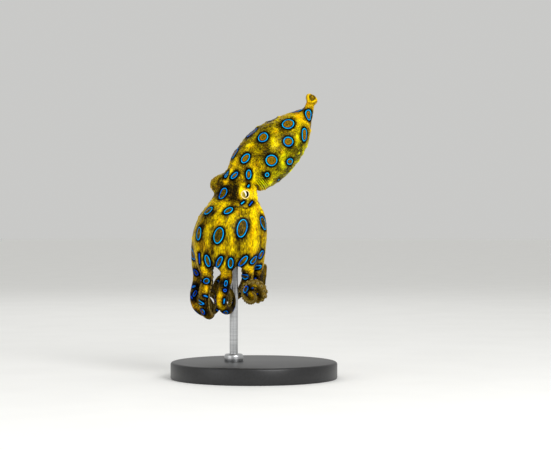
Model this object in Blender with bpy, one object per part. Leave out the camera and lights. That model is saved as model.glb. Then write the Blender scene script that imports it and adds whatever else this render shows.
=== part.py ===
# A life-size model of a blue ringed octopus, swimming with its arms curled, on a plain display stand.
# Sizes here are millimetres and degrees. Each finished mesh is scaled to metres at the end.
# +X is to the viewer's right, +Y away from the viewer, +Z up, and the floor is at height 0.
# "Around" is an angle round an upright axis: 0 faces the viewer, 90 the right, 180 away, -90 the left.

import math

import bmesh
import bpy
import numpy as np
from mathutils import Matrix, Vector

MM = 0.001
GAP = 0.3  # what neighbouring pieces keep between them
SHARP_ANGLE = 40.0  # edges that turn more than this are shaded sharp

# The display stand
BASE_RADIUS = 30.0
BASE_THICK = 6.0
BASE_CHAMFER = 0.9
BASE_SIDES = 40
ROD_RADIUS = 1.5
ROD_SIDES = 14
COLLAR_RADIUS = 3.4
COLLAR_THICK = 2.4
COLLAR_TAPER = 0.5  # how much narrower its top is

# The crown of arms: a bell round a leaning axis, as (height, x, y) and (height, outer radius)
CROWN_TOP = 62.4
CROWN_AXIS_X = [(37.0, -9.5), (45.0, -9.3), (53.0, -8.6), (62.4, -7.3)]
CROWN_AXIS_Y = [(37.0, 0.0), (53.0, 0.0), (62.4, 0.8)]
CROWN_RADIUS = [(37.0, 12.4), (42.0, 13.2), (47.5, 13.6), (53.5, 13.3), (59.0, 11.6), (62.4, 9.5)]
CROWN_DEPTH = 0.94  # front to back, as a share of side to side
BACK_AROUND = [(37.0, -22.0), (50.0, -34.0), (62.4, -32.0)]  # the way the animal's back faces

# The web between the arms
WEB_TOP = 62.3
WEB_EDGE_AT_ARMS = 38.2
WEB_EDGE_BETWEEN = 40.6
WEB_THICK = 1.0
WEB_SINK = 1.2  # how far its middle surface lies under the arms' outer line
WEB_SAG = 0.5
WEB_GAP = 0.5  # from the arms, measured level
WEB_ARM_LEAN = 0.7  # the arms lean across the level sections, which makes them longer from front to back
WEB_ACROSS = 4
WEB_DOWN = 6

# The arms
ARM_FOOT = 37.4  # height where an arm leaves the bell and hangs free
ARM_LENGTH = 62.0
ARM_ROOT_RADIUS = 2.35
ARM_TIP_RADIUS = 0.4
ARM_STEP = 0.25  # step along an arm's centre line
ARM_LEVEL = 0.07  # share of its length over which an arm's level root end comes to stand square
ARM_SIDES = 8
ORAL_FLAT = 0.86  # the sucker side is a little flatter
ARM_CUTS = (0.0, 0.435, 0.68, 1.0)  # where each arm is parted, as shares of its length
ARM_CUT_WIDTH = 0.4
ARM_ROWS = (8, 7, 15)  # rings of points in each length
LENGTH_NAMES = ("root", "middle", "tip")

# Each arm: its place round from the middle of the back, the way its free part curls, how tightly it bends
# (radians per mm, at even steps from the bell to the tip), its drift out of the curl's plane, and its taper
# (a higher one keeps it thick for longer)
ARMS = {
    "arm_left_1": dict(around=22.5, curl=140.0, bends=(-0.2, 0.25, 0.25, 0.55), drift=-0.16, taper=2.6),
    "arm_left_2": dict(around=67.5, curl=65.0, bends=(0.0, 0.34, 0.3, 0.5), drift=0.21, taper=2.6),
    "arm_left_3": dict(around=112.5, curl=182.0, bends=(0.1, 0.2, 0.25, 0.3), drift=0.1, taper=1.9),
    "arm_left_4": dict(around=157.5, curl=270.0, bends=(0.0, 0.2, 0.3, 0.45), drift=-0.1, taper=1.9),
    "arm_right_4": dict(around=-157.5, curl=215.0, bends=(0.05, 0.2, 0.25, 0.4), drift=0.16, taper=1.9),
    "arm_right_3": dict(around=-112.5, curl=215.0, bends=(0.05, 0.2, 0.3, 0.4), drift=0.16, taper=1.9),
    "arm_right_2": dict(around=-67.5, curl=95.0, bends=(-0.15, 0.2, 0.3, 0.45), drift=-0.14, taper=2.6),
    "arm_right_1": dict(around=-22.5, curl=155.0, bends=(-0.2, 0.2, 0.3, 0.5), drift=-0.12, taper=2.6),
}

# The suckers, in two rows under each arm
SUCKER_ROW_ANGLE = 30.0  # each row's place, to either side of the middle of the sucker side
SUCKER_SIZE = 0.42  # rim radius, as a share of the arm's radius
SUCKER_LEAST = 0.32
SUCKER_PITCH = 4.2  # from one to the next, in rim radii
SUCKER_HEIGHT = 0.55  # how far the rim stands out, in rim radii
SUCKER_LIP = 0.1  # how far the widest place lies under the top, in rim radii
SUCKER_DISH = 0.35  # depth of the cup, in rim radii
SUCKER_FOOT = 0.6  # its foot's radius, in rim radii
SUCKER_ROOT = 0.45  # where the foot is buried, as a share of the arm's radius
SUCKER_ROOM = 1.3  # what a sucker keeps from a parting of the arm, in rim radii
SUCKER_SHARES = (0.05, 0.985)  # where the rows begin and end along an arm
SUCKER_SIDES = 5

# The head up to its neck, as (height, centre x, centre y, half width, half depth, lean to the right)
HEAD_RINGS = [
    (62.7, -7.1, 0.9, 9.2, 8.8, 0.0),
    (64.5, -6.6, 1.2, 8.0, 7.7, 6.0),
    (67.0, -5.9, 1.5, 7.0, 6.9, 15.0),
    (69.4, -5.0, 1.8, 6.3, 6.3, 28.0),
]
NECK_RADIUS = 5.9
HEAD_SIDES = 24

# The eyes: centre of each dome, the way it looks and how far up
EYES = {
    "left": {"centre": (-4.0, -4.1, 66.25), "around": 18.0, "up": -1.0},
    "right": {"centre": (-12.4, 0.9, 69.3), "around": -98.0, "up": 12.0},
}
DOME_RADIUS = 3.55
DOME_STEPS = 3
EYE_RADIUS = 2.2
EYE_STEPS = 2
EYE_FORWARD = 1.4  # the eyeball's centre ahead of the dome's
LID_FORWARD = 2.95  # the lid's plane ahead of the dome's centre
LID_RADIUS = 2.1
LID_THICK = 0.45
LID_SIDES = 18
LID_SECTION_SIDES = 6

# The mantle, as (distance up its axis, half width, shift towards the belly side)
MANTLE_FOOT = (-3.96, 2.0, 71.32)
MANTLE_AXIS = (0.659, 0.174, 0.732)
MANTLE_WIDTH = [
    (1.2, 7.0), (3.6, 8.3), (8.0, 9.6), (13.7, 10.15), (18.7, 9.6), (24.1, 8.0), (29.2, 5.6), (34.4, 2.3)
]
MANTLE_SHIFT = [(1.2, 0.0), (8.0, 0.2), (18.7, 0.6), (26.0, 1.25), (34.4, 0.75)]
MANTLE_DEPTH = 0.93
MANTLE_ROWS = 15
MANTLE_SIDES = 24

# The papilla at the mantle's tip, as (x, y, height, radius) up its bent axis
PAPILLA_RINGS = [
    (19.75, 8.15, 97.05, 1.95),
    (20.3, 8.3, 98.6, 1.6),
    (20.75, 8.4, 99.9, 1.75),
    (21.0, 8.5, 101.0, 2.08),
    (21.15, 8.6, 102.0, 1.75),
    (21.2, 8.65, 102.7, 0.85),
]
PAPILLA_SIDES = 12

# The funnel, under the head on the belly side, as (x, y, height, radius) down its axis
FUNNEL_RINGS = [
    (-1.25, 8.9, 68.2, 1.6),
    (-1.2, 9.35, 65.8, 1.8),
    (-0.7, 10.5, 63.6, 1.5),
    (-0.4, 11.4, 61.9, 1.2),
]
FUNNEL_BORE = 0.7
FUNNEL_BORE_DEPTH = 2.6
FUNNEL_BORE_TAPER = 0.8
FUNNEL_SIDES = 14

# The mouth, in the middle of the arms' roots, as (height below the head, radius)
MOUTH_RINGS = [(GAP, 3.7), (1.2, 3.9), (2.2, 3.3), (2.9, 2.4)]
MOUTH_SIDES = 16

# Colours (linear) with roughness and metallic value
LOOKS = {
    "skin": ((0.62, 0.42, 0.02, 1), 0.35, 0.0),
    "web_skin": ((0.55, 0.36, 0.02, 1), 0.4, 0.0),
    "eye": ((0.75, 0.6, 0.25, 1), 0.1, 0.0),
    "mouth": ((0.5, 0.33, 0.16, 1), 0.4, 0.0),
    "stand": ((0.02, 0.02, 0.022, 1), 0.35, 0.0),
    "rod": ((0.6, 0.6, 0.6, 1), 0.3, 1.0),
}


def smooth_value(table, at):
    """The value at a place on a smooth curve through rows of (place, value)."""
    places = [row[0] for row in table]
    values = [row[1] for row in table]
    slopes = np.gradient(values, places)
    at = min(max(at, places[0]), places[-1])
    i = min(int(np.searchsorted(places, at, side="right")) - 1, len(places) - 2)
    span = places[i + 1] - places[i]
    t = (at - places[i]) / span
    return (
        (1 + 2 * t) * (1 - t) ** 2 * values[i]
        + t * (1 - t) ** 2 * span * slopes[i]
        + t * t * (3 - 2 * t) * values[i + 1]
        + t * t * (t - 1) * span * slopes[i + 1]
    )


def facing(around, up=0.0):
    """The unit vector that faces this way."""
    a, e = math.radians(around), math.radians(up)
    return Vector((math.sin(a) * math.cos(e), -math.cos(a) * math.cos(e), math.sin(e)))


def crown_point(height, around, radius):
    """A point at this height, direction and radius in the bell."""
    way = facing(around)
    x = smooth_value(CROWN_AXIS_X, height) + way.x * radius
    y = smooth_value(CROWN_AXIS_Y, height) + way.y * radius * CROWN_DEPTH
    return Vector((x, y, height))


def arm_around(arm, height):
    return smooth_value(BACK_AROUND, height) + arm["around"]


def arm_radius(arm, share):
    """An arm's radius at this share of its length."""
    return ARM_TIP_RADIUS + (ARM_ROOT_RADIUS - ARM_TIP_RADIUS) * (1 - share ** arm["taper"])


def bell_radius(arm, height):
    """Radius of an arm inside the bell, where the share of its length follows from the height."""
    return arm_radius(arm, (CROWN_TOP - height) / ARM_LENGTH)


def arm_line(arm):
    """Points down the middle of an arm, each with the arm's direction, its sucker side and its radius."""
    points = []
    height = CROWN_TOP
    while height > ARM_FOOT:
        inset = smooth_value(CROWN_RADIUS, height) - bell_radius(arm, height)
        points.append(crown_point(height, arm_around(arm, height), inset))
        height -= ARM_STEP
    along = (points[-1] - points[-2]).normalized()
    length = sum((b - a).length for a, b in zip(points, points[1:]))
    free = ARM_LENGTH - length
    pivot = along.cross(facing(arm["curl"])).normalized()
    bends = [(i / (len(arm["bends"]) - 1), bend) for i, bend in enumerate(arm["bends"])]
    steps = int(free / ARM_STEP)
    for i in range(steps):
        along = Matrix.Rotation(smooth_value(bends, i / steps) * ARM_STEP, 3, pivot) @ along
        points.append(points[-1] + (along + pivot * arm["drift"]) * ARM_STEP)
    inner = Vector((smooth_value(CROWN_AXIS_X, CROWN_TOP), smooth_value(CROWN_AXIS_Y, CROWN_TOP), CROWN_TOP))
    oral = (inner - points[0]).normalized()
    line = []
    for i, point in enumerate(points):
        ahead, behind = points[min(i + 1, len(points) - 1)], points[max(i - 1, 0)]
        direction = (ahead - behind).normalized()
        oral = (oral - direction * oral.dot(direction)).normalized()
        line.append((point, direction, oral, arm_radius(arm, i / (len(points) - 1))))
    return line


def line_at(line, share):
    """The point, direction, sucker side and radius at a share of an arm's length."""
    place = share * (len(line) - 1)
    i = min(int(place), len(line) - 2)
    t = place - i
    near, far = line[i], line[i + 1]
    return tuple(a * (1 - t) + b * t for a, b in zip(near, far))


def arm_ring(line, share):
    """A ring of points round an arm, flatter on the sucker side, and level where it meets the head."""
    point, direction, oral, radius = line_at(line, share)
    side = direction.cross(oral)
    upright = min(share / ARM_LEVEL, 1.0)
    ring = []
    for i in range(ARM_SIDES):
        angle = math.tau * (i + 0.5) / ARM_SIDES
        flat = ORAL_FLAT if math.cos(angle) > 0 else 1.0
        offset = (oral * math.cos(angle) * flat + side * math.sin(angle)) * radius
        offset.z *= upright
        ring.append(point + offset)
    return ring


def new_object(name, bm, look):
    """Turns a bmesh in millimetres into a named object in metres."""
    bmesh.ops.recalc_face_normals(bm, faces=bm.faces)
    mesh = bpy.data.meshes.new(name)
    bm.to_mesh(mesh)
    bm.free()
    mesh.materials.append(material(look))
    obj = bpy.data.objects.new(name, mesh)
    bpy.context.scene.collection.objects.link(obj)
    return obj


def material(look):
    """One Principled material for each kind of surface."""
    found = bpy.data.materials.get(look)
    if found:
        return found
    colour, roughness, metallic = LOOKS[look]
    made = bpy.data.materials.new(look)
    made.use_nodes = True
    shader = made.node_tree.nodes["Principled BSDF"]
    shader.inputs["Base Color"].default_value = colour
    shader.inputs["Roughness"].default_value = roughness
    shader.inputs["Metallic"].default_value = metallic
    return made


def loft(rings, looped=False):
    """A closed bmesh through rings of points: looped back to the first, or each end a flat cap or a point."""
    bm = bmesh.new()
    rows = [[bm.verts.new(point) for point in ring] for ring in rings]
    for upper, lower in zip(rows, rows[1:] + (rows[:1] if looped else [])):
        count = max(len(upper), len(lower))
        for i in range(count):
            j = (i + 1) % count
            above = [upper[i % len(upper)], upper[j % len(upper)]]
            below = [lower[j % len(lower)], lower[i % len(lower)]]
            bm.faces.new(list(dict.fromkeys(above + below)))
    for end in () if looped else (rows[0], rows[-1]):
        if len(end) > 2:
            bm.faces.new(end)
    return bm


def turned_ring(centre, axis, radius, sides, across=None):
    """A ring of points round an axis. across may give its two directions, whose lengths scale the radius."""
    axis = axis.normalized()
    first, second = across or (axis.orthogonal().normalized(), axis.cross(axis.orthogonal().normalized()))
    ring = []
    for i in range(sides):
        angle = math.tau * i / sides
        ring.append(centre + (first * math.cos(angle) + second * math.sin(angle)) * radius)
    return ring


def unite(obj, pieces):
    """Joins the pieces to the object with one Boolean union, applies it and removes them."""
    group = bpy.data.collections.new("joined")
    for piece in pieces:
        bpy.context.scene.collection.objects.unlink(piece)
        group.objects.link(piece)
    bpy.context.scene.collection.children.link(group)
    join = obj.modifiers.new("join", "BOOLEAN")
    join.operation = "UNION"
    join.operand_type = "COLLECTION"
    join.collection = group
    apply_modifiers(obj)
    for piece in pieces:
        bpy.data.objects.remove(piece)
    bpy.data.collections.remove(group)
    keep_largest(obj)


def cut(obj, cutter):
    """Cuts the cutter's shape out of the object, and removes the cutter."""
    carve = obj.modifiers.new("cut", "BOOLEAN")
    carve.operation = "DIFFERENCE"
    carve.object = cutter
    apply_modifiers(obj)
    bpy.data.objects.remove(cutter)
    keep_largest(obj)


def apply_modifiers(obj):
    graph = bpy.context.evaluated_depsgraph_get()
    graph.update()
    mesh = bpy.data.meshes.new_from_object(obj.evaluated_get(graph))
    obj.modifiers.clear()
    obj.data = mesh


def keep_largest(obj):
    """Keeps only the largest closed surface of an object's mesh."""
    bm = bmesh.new()
    bm.from_mesh(obj.data)
    left = set(bm.faces)
    groups = []
    while left:
        todo = [left.pop()]
        group = []
        while todo:
            face = todo.pop()
            group.append(face)
            linked = {f for edge in face.edges for f in edge.link_faces} & left
            left -= linked
            todo.extend(linked)
        groups.append(group)
    groups.sort(key=lambda group: sum(face.calc_area() for face in group))
    for group in groups[:-1]:
        bmesh.ops.delete(bm, geom=group, context="FACES")
    bm.to_mesh(obj.data)
    bm.free()


def sucker(line, share, sideways):
    """One cup, rooted in its arm, as a closed piece."""
    point, direction, oral, radius = line_at(line, share)
    side = direction.cross(oral)
    angle = math.radians(SUCKER_ROW_ANGLE) * sideways
    out = oral * math.cos(angle) + side * math.sin(angle)
    rim = max(SUCKER_SIZE * radius, SUCKER_LEAST)
    across = (direction, out.cross(direction))
    skin = radius * ORAL_FLAT
    top = skin + rim * SUCKER_HEIGHT
    rings = [
        turned_ring(point + out * skin * SUCKER_ROOT, out, rim * SUCKER_FOOT, SUCKER_SIDES, across),
        turned_ring(point + out * (top - rim * SUCKER_LIP), out, rim, SUCKER_SIDES, across),
        [point + out * (top - rim * SUCKER_DISH)],
    ]
    return new_object("sucker", loft(rings), "skin")


def sucker_places(line, start, stop):
    """Shares of the arm's length where each pair of suckers stands."""
    places = []
    length = ARM_STEP * (len(line) - 1)
    share, last = SUCKER_SHARES
    while share < last:
        rim = max(SUCKER_SIZE * line_at(line, share)[3], SUCKER_LEAST)
        room = SUCKER_ROOM * rim / length
        if start + room < share < stop - room or (stop == 1.0 and share > start + room):
            places.append(share)
        share += SUCKER_PITCH * rim / length
    return places


def build_arm(name, arm):
    """The three lengths of an arm, parted by thin cuts, with their suckers."""
    line = arm_line(arm)
    trim = ARM_CUT_WIDTH / 2 / ARM_LENGTH
    for i, length_name in enumerate(LENGTH_NAMES):
        at_tip = length_name == LENGTH_NAMES[-1]
        start = ARM_CUTS[i] + (trim if i else 0)
        stop = ARM_CUTS[i + 1] - (0 if at_tip else trim)
        shares = np.linspace(start, stop, ARM_ROWS[i])
        rings = [arm_ring(line, share) for share in shares]
        if at_tip:
            tip, direction, _, radius = line_at(line, 1.0)
            rings.append([tip + direction * radius])
        piece = new_object(f"{name}_{length_name}", loft(rings), "skin")
        cups = [
            sucker(line, share, sideways)
            for share in sucker_places(line, ARM_CUTS[i], ARM_CUTS[i + 1])
            for sideways in (-1, 1)
        ]
        unite(piece, cups)


def web_limit(arm, height, face):
    """Half the angle that an arm takes up, with its gap, where this face of the web meets it."""
    radius = bell_radius(arm, height)
    sheet = smooth_value(CROWN_RADIUS, height) - WEB_SINK + face * WEB_THICK / 2
    offset = (radius - WEB_SINK + face * WEB_THICK / 2) * WEB_ARM_LEAN
    reach = math.sqrt((radius + WEB_GAP) ** 2 - offset**2)
    return math.degrees(math.asin(reach / sheet))


def web_point(near, far, u, v, face):
    """A point on one face (1 outside, -1 inside) of the web between two arms: u across, v down."""
    between = 1 - (2 * u - 1) ** 2
    edge = WEB_EDGE_AT_ARMS + (WEB_EDGE_BETWEEN - WEB_EDGE_AT_ARMS) * between
    height = WEB_TOP + (edge - WEB_TOP) * v
    start = arm_around(near, height) + web_limit(near, height, face)
    stop = arm_around(far, height) - web_limit(far, height, face)
    if stop < start - 90:
        stop += 360
    radius = smooth_value(CROWN_RADIUS, height) - WEB_SINK - WEB_SAG * between + face * WEB_THICK / 2
    return crown_point(height, start + (stop - start) * u, radius)


def build_web(name, near, far):
    """One panel of web, with the same triangles on both faces."""
    bm = bmesh.new()
    faces = {}
    across = [i / WEB_ACROSS for i in range(WEB_ACROSS + 1)]
    down = [j / WEB_DOWN for j in range(WEB_DOWN + 1)]
    for face in (1, -1):
        faces[face] = [[bm.verts.new(web_point(near, far, u, v, face)) for u in across] for v in down]
    for grid in faces.values():
        for j in range(WEB_DOWN):
            for i in range(WEB_ACROSS):
                bm.faces.new((grid[j][i], grid[j][i + 1], grid[j + 1][i + 1]))
                bm.faces.new((grid[j][i], grid[j + 1][i + 1], grid[j + 1][i]))
    outside, inside = (rim_of(faces[face]) for face in (1, -1))
    for i, vert in enumerate(outside):
        j = (i + 1) % len(outside)
        bm.faces.new((vert, outside[j], inside[j], inside[i]))
    new_object(name, bm, "web_skin")


def rim_of(grid):
    """The border of a grid, as one loop."""
    right = [row[-1] for row in grid[1:-1]]
    left = [row[0] for row in grid[1:-1]]
    return grid[0] + right + grid[-1][::-1] + left[::-1]


def lid(eye):
    """The fleshy ring round an eye."""
    look = facing(eye["around"], eye["up"])
    middle = Vector(eye["centre"]) + look * LID_FORWARD
    rings = []
    for i in range(LID_SECTION_SIDES):
        angle = math.tau * i / LID_SECTION_SIDES
        centre = middle + look * math.sin(angle) * LID_THICK
        rings.append(turned_ring(centre, look, LID_RADIUS + math.cos(angle) * LID_THICK, LID_SIDES))
    return new_object("lid", loft(rings, looped=True), "skin")


def build_head():
    """The head with its two eye domes, each with a lid round a socket for the eyeball."""
    rings = []
    for height, x, y, wide, deep, lean in HEAD_RINGS:
        slope = math.tan(math.radians(lean))
        ring = []
        for i in range(HEAD_SIDES):
            angle = math.tau * i / HEAD_SIDES
            across = math.cos(angle) * wide
            ring.append(Vector((x + across, y + math.sin(angle) * deep, height - across * slope)))
        rings.append(ring)
    rings.append(mantle_ring(MANTLE_WIDTH[0][0] - GAP, NECK_RADIUS, HEAD_SIDES))
    head = new_object("head", loft(rings), "skin")
    domes = []
    for eye in EYES.values():
        bm = bmesh.new()
        bmesh.ops.create_icosphere(
            bm, subdivisions=DOME_STEPS, radius=DOME_RADIUS, matrix=Matrix.Translation(eye["centre"])
        )
        domes += [new_object("dome", bm, "skin"), lid(eye)]
    unite(head, domes)
    for eye in EYES.values():
        cut(head, eyeball("socket", eye, EYE_RADIUS + GAP))


def eyeball(name, eye, radius):
    """A ball for an eye, or for its socket, with one pole where the eye looks."""
    look = facing(eye["around"], eye["up"])
    centre = Vector(eye["centre"]) + look * EYE_FORWARD
    turn = look.to_track_quat("Z", "Y").to_matrix().to_4x4()
    bm = bmesh.new()
    place = Matrix.Translation(centre) @ turn
    bmesh.ops.create_icosphere(bm, subdivisions=EYE_STEPS, radius=radius, matrix=place)
    return new_object(name, bm, "eye")


def mantle_ring(place, radius, sides):
    """A ring square to the mantle's axis, at this distance up it."""
    axis = Vector(MANTLE_AXIS).normalized()
    across = Vector((axis.z, 0.0, -axis.x)).normalized()
    centre = Vector(MANTLE_FOOT) + axis * place + across * smooth_value(MANTLE_SHIFT, place)
    return turned_ring(centre, axis, radius, sides, (across, axis.cross(across) * MANTLE_DEPTH))


def build_mantle():
    """The body sack, from its front rim to where the papilla stands."""
    places = np.linspace(MANTLE_WIDTH[0][0], MANTLE_WIDTH[-1][0], MANTLE_ROWS)
    rings = [mantle_ring(place, smooth_value(MANTLE_WIDTH, place), MANTLE_SIDES) for place in places]
    new_object("mantle", loft(rings), "skin")


def build_papilla():
    """The small stalked knob at the tip of the mantle."""
    rings = []
    for i, (x, y, height, radius) in enumerate(PAPILLA_RINGS):
        ahead = Vector(PAPILLA_RINGS[min(i + 1, len(PAPILLA_RINGS) - 1)][:3])
        behind = Vector(PAPILLA_RINGS[max(i - 1, 0)][:3])
        rings.append(turned_ring(Vector((x, y, height)), ahead - behind, radius, PAPILLA_SIDES))
    new_object("mantle_tip", loft(rings), "skin")


def build_funnel():
    """The short tube that the animal swims with, open at its lower end."""
    rings = []
    top, low = Vector(FUNNEL_RINGS[0][:3]), Vector(FUNNEL_RINGS[-1][:3])
    axis = low - top
    for x, y, height, radius in FUNNEL_RINGS:
        rings.append(turned_ring(Vector((x, y, height)), axis, radius, FUNNEL_SIDES))
    inner = low - axis.normalized() * FUNNEL_BORE_DEPTH
    rings.append(turned_ring(low, axis, FUNNEL_BORE, FUNNEL_SIDES))
    rings.append(turned_ring(inner, axis, FUNNEL_BORE * FUNNEL_BORE_TAPER, FUNNEL_SIDES))
    new_object("funnel", loft(rings), "skin")


def build_mouth():
    """The round lip in the middle of the arms, which the rod meets."""
    x, y = smooth_value(CROWN_AXIS_X, CROWN_TOP), smooth_value(CROWN_AXIS_Y, CROWN_TOP)
    rings = [
        turned_ring(Vector((x, y, HEAD_RINGS[0][0] - down)), Vector((0, 0, 1)), radius, MOUTH_SIDES)
        for down, radius in MOUTH_RINGS
    ]
    new_object("mouth", loft(rings), "mouth")


def build_stand():
    """A flat round base with one rod up to the mouth, and a collar at the rod's foot."""
    up = Vector((0, 0, 1))
    foot = [
        (0.0, BASE_RADIUS),
        (BASE_THICK - BASE_CHAMFER, BASE_RADIUS),
        (BASE_THICK, BASE_RADIUS - BASE_CHAMFER),
    ]
    new_object("stand_base", loft([turned_ring(up * z, up, r, BASE_SIDES) for z, r in foot]), "stand")
    rod_x, rod_y = smooth_value(CROWN_AXIS_X, CROWN_TOP), smooth_value(CROWN_AXIS_Y, CROWN_TOP)
    top = HEAD_RINGS[0][0] - MOUTH_RINGS[-1][0] - GAP
    rod_ends = [Vector((rod_x, rod_y, z)) for z in (BASE_THICK + GAP, top)]
    new_object("stand_rod", loft([turned_ring(end, up, ROD_RADIUS, ROD_SIDES) for end in rod_ends]), "rod")
    low, high = BASE_THICK + GAP, BASE_THICK + GAP + COLLAR_THICK
    hole = ROD_RADIUS + GAP
    section = [(low, hole), (low, COLLAR_RADIUS), (high, COLLAR_RADIUS - COLLAR_TAPER), (high, hole)]
    rings = [turned_ring(Vector((rod_x, rod_y, z)), up, r, ROD_SIDES * 2) for z, r in section]
    new_object("stand_collar", loft(rings, looped=True), "rod")


def main():
    for obj in list(bpy.data.objects):
        bpy.data.objects.remove(obj)
    build_stand()
    build_mouth()
    build_head()
    for side, eye in EYES.items():
        eyeball(f"eye_{side}", eye, EYE_RADIUS)
    build_mantle()
    build_papilla()
    build_funnel()
    for name, arm in ARMS.items():
        build_arm(name, arm)
    ring = sorted(ARMS, key=lambda name: ARMS[name]["around"])
    for near, far in zip(ring, ring[1:] + ring[:1]):
        name = "web_" + near.removeprefix("arm_") + "_to_" + far.removeprefix("arm_")
        build_web(name, ARMS[near], ARMS[far])
    for obj in bpy.data.objects:
        obj.data.transform(Matrix.Scale(MM, 4))
        obj.data.shade_smooth()
        obj.data.set_sharp_from_angle(angle=math.radians(SHARP_ANGLE))


main()
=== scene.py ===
import math

import bmesh
import bpy
import numpy as np
from mathutils import Matrix, Vector
from mathutils.bvhtree import BVHTree
from mathutils.kdtree import KDTree


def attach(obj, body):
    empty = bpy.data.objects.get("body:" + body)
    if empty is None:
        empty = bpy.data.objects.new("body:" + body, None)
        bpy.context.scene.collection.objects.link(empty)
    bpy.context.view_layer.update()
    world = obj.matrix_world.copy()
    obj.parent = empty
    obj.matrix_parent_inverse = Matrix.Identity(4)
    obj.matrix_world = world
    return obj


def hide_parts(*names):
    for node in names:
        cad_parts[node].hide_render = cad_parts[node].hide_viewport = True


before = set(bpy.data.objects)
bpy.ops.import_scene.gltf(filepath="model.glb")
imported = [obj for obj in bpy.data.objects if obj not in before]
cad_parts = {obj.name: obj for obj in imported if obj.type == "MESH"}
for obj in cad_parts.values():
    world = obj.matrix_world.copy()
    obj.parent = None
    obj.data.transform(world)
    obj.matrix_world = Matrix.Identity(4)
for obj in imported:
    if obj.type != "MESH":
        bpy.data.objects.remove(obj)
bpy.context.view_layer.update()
print("frame loaded")

# Shapes are worked out in millimetres: +X to the right of the picture, +Y away from it, +Z up from the floor
mm = 0.001

photo = {
    "wide": 551.0,
    "high": 450.0,
    "mmPerPixel": 0.36,  # at the plane of the stand's middle
    "zeroColumn": 254.0,  # the pixel column over the stand's middle
    "floorRow": 378.1,  # the pixel row of the floor there
    "distance": 600.0,  # how far the camera stands from that plane
    "sensorWidth": 36.0,
    "clipStart": 0.01,  # in metres
}


def pixelSpot(column, row):  # where a pixel lies in the plane of the stand's middle
    x = (column - photo["zeroColumn"]) * photo["mmPerPixel"]
    z = (photo["floorRow"] - row) * photo["mmPerPixel"]
    return Vector((x, 0.0, z))


photoMiddle = pixelSpot(photo["wide"] / 2, photo["high"] / 2)
cameraSpot = photoMiddle - Vector((0.0, photo["distance"], 0.0))


def placeCamera():
    data = bpy.data.cameras.new("photo camera")
    data.sensor_width = photo["sensorWidth"]
    data.lens = data.sensor_width * photo["distance"] / (photo["wide"] * photo["mmPerPixel"])
    data.clip_start = photo["clipStart"]
    camera = bpy.data.objects.new("photo camera", data)
    camera.location = cameraSpot * mm
    camera.rotation_euler = (math.radians(90), 0.0, 0.0)
    bpy.context.scene.collection.objects.link(camera)
    bpy.context.scene.camera = camera


placeCamera()


def smoothValue(table, at):  # a smooth curve through rows of (place, value)
    places, values = np.array(table, float).T
    slopes = np.gradient(values, places)
    at = np.clip(at, places[0], places[-1])
    i = np.clip(np.searchsorted(places, at, side="right") - 1, 0, len(places) - 2)
    span = places[i + 1] - places[i]
    t = (at - places[i]) / span
    start = (1 + 2 * t) * (1 - t) ** 2 * values[i] + t * (1 - t) ** 2 * span * slopes[i]
    return start + t * t * (3 - 2 * t) * values[i + 1] + t * t * (t - 1) * span * slopes[i + 1]


def ease(value, low, high):  # 0 below low, 1 above high, and smooth between
    t = np.clip((value - low) / (high - low), 0, 1)
    return t * t * (3 - 2 * t)


def hump(away, spread):  # 1 in the middle, and falling off to both sides
    return np.exp(-((away / spread) ** 2))


def facing(around, up=0.0):  # 0 faces the camera, 90 the picture's right
    a, e = np.radians(around), np.radians(up)
    return np.stack([np.sin(a) * np.cos(e), -np.cos(a) * np.cos(e), np.sin(e) + 0 * a], axis=-1)


def unitLong(directions):
    return directions / np.linalg.norm(directions, axis=-1, keepdims=True)


def fromRun(flat, start, stop):  # how far flat points lie from a straight run
    start = np.array(start, float)
    run = np.array(stop, float) - start
    share = np.clip((flat - start) @ run / (run @ run), 0, 1)
    return np.linalg.norm(flat - start - share[:, None] * run, axis=1)


weld = 1e-4  # points that lie closer than this become one


def closeForm(bm):  # doubles merged, open ends capped, faces outwards
    bmesh.ops.remove_doubles(bm, verts=bm.verts, dist=weld)
    bmesh.ops.dissolve_degenerate(bm, edges=bm.edges, dist=weld / 10)
    bmesh.ops.holes_fill(bm, edges=bm.edges, sides=0)
    bmesh.ops.recalc_face_normals(bm, faces=bm.faces)


def mappedGrid(across, down, place):  # a grid laid on a closed form, by its shares across and down
    bm = bmesh.new()
    bmesh.ops.create_grid(bm, x_segments=across, y_segments=down, size=0.5)
    shares = np.array([vert.co[:2] for vert in bm.verts]) + 0.5
    for vert, spot in zip(bm.verts, place(shares[:, 0], shares[:, 1])):
        vert.co = spot
    closeForm(bm)
    return bm


def spinRow(bm, row, sides, closed=False):  # a row of points, joined up and turned on the upright axis
    lines = [bm.edges.new(pair) for pair in zip(row, row[1:] + (row[:1] if closed else []))]
    bmesh.ops.spin(
        bm, geom=row + lines, axis=(0, 0, 1), cent=(0, 0, 0), angle=math.tau, steps=sides, use_merge=True,
    )
    closeForm(bm)


def addForm(whole, form):
    mesh = bpy.data.meshes.new("form")
    form.to_mesh(mesh)
    form.free()
    whole.from_mesh(mesh)
    bpy.data.meshes.remove(mesh)


def finishPiece(name, mesh, finish, replaced=()):  # a piece in metres that rides on the body
    mesh.transform(Matrix.Scale(mm, 4))
    mesh.shade_smooth()
    mesh.materials.append(finish)
    piece = bpy.data.objects.new(name, mesh)
    bpy.context.scene.collection.objects.link(piece)
    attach(piece, "root")
    if replaced:
        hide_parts(*replaced)
    return piece


def meshOf(name, bm):
    mesh = bpy.data.meshes.new(name)
    bm.to_mesh(mesh)
    bm.free()
    return mesh


def storeNumbers(mesh, name, numbers):
    kind = "FLOAT" if numbers.ndim == 1 else "FLOAT_VECTOR"
    layer = mesh.attributes.new(name, kind, "POINT")
    layer.data.foreach_set("value" if numbers.ndim == 1 else "vector", numbers.astype(np.float32).ravel())


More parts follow.
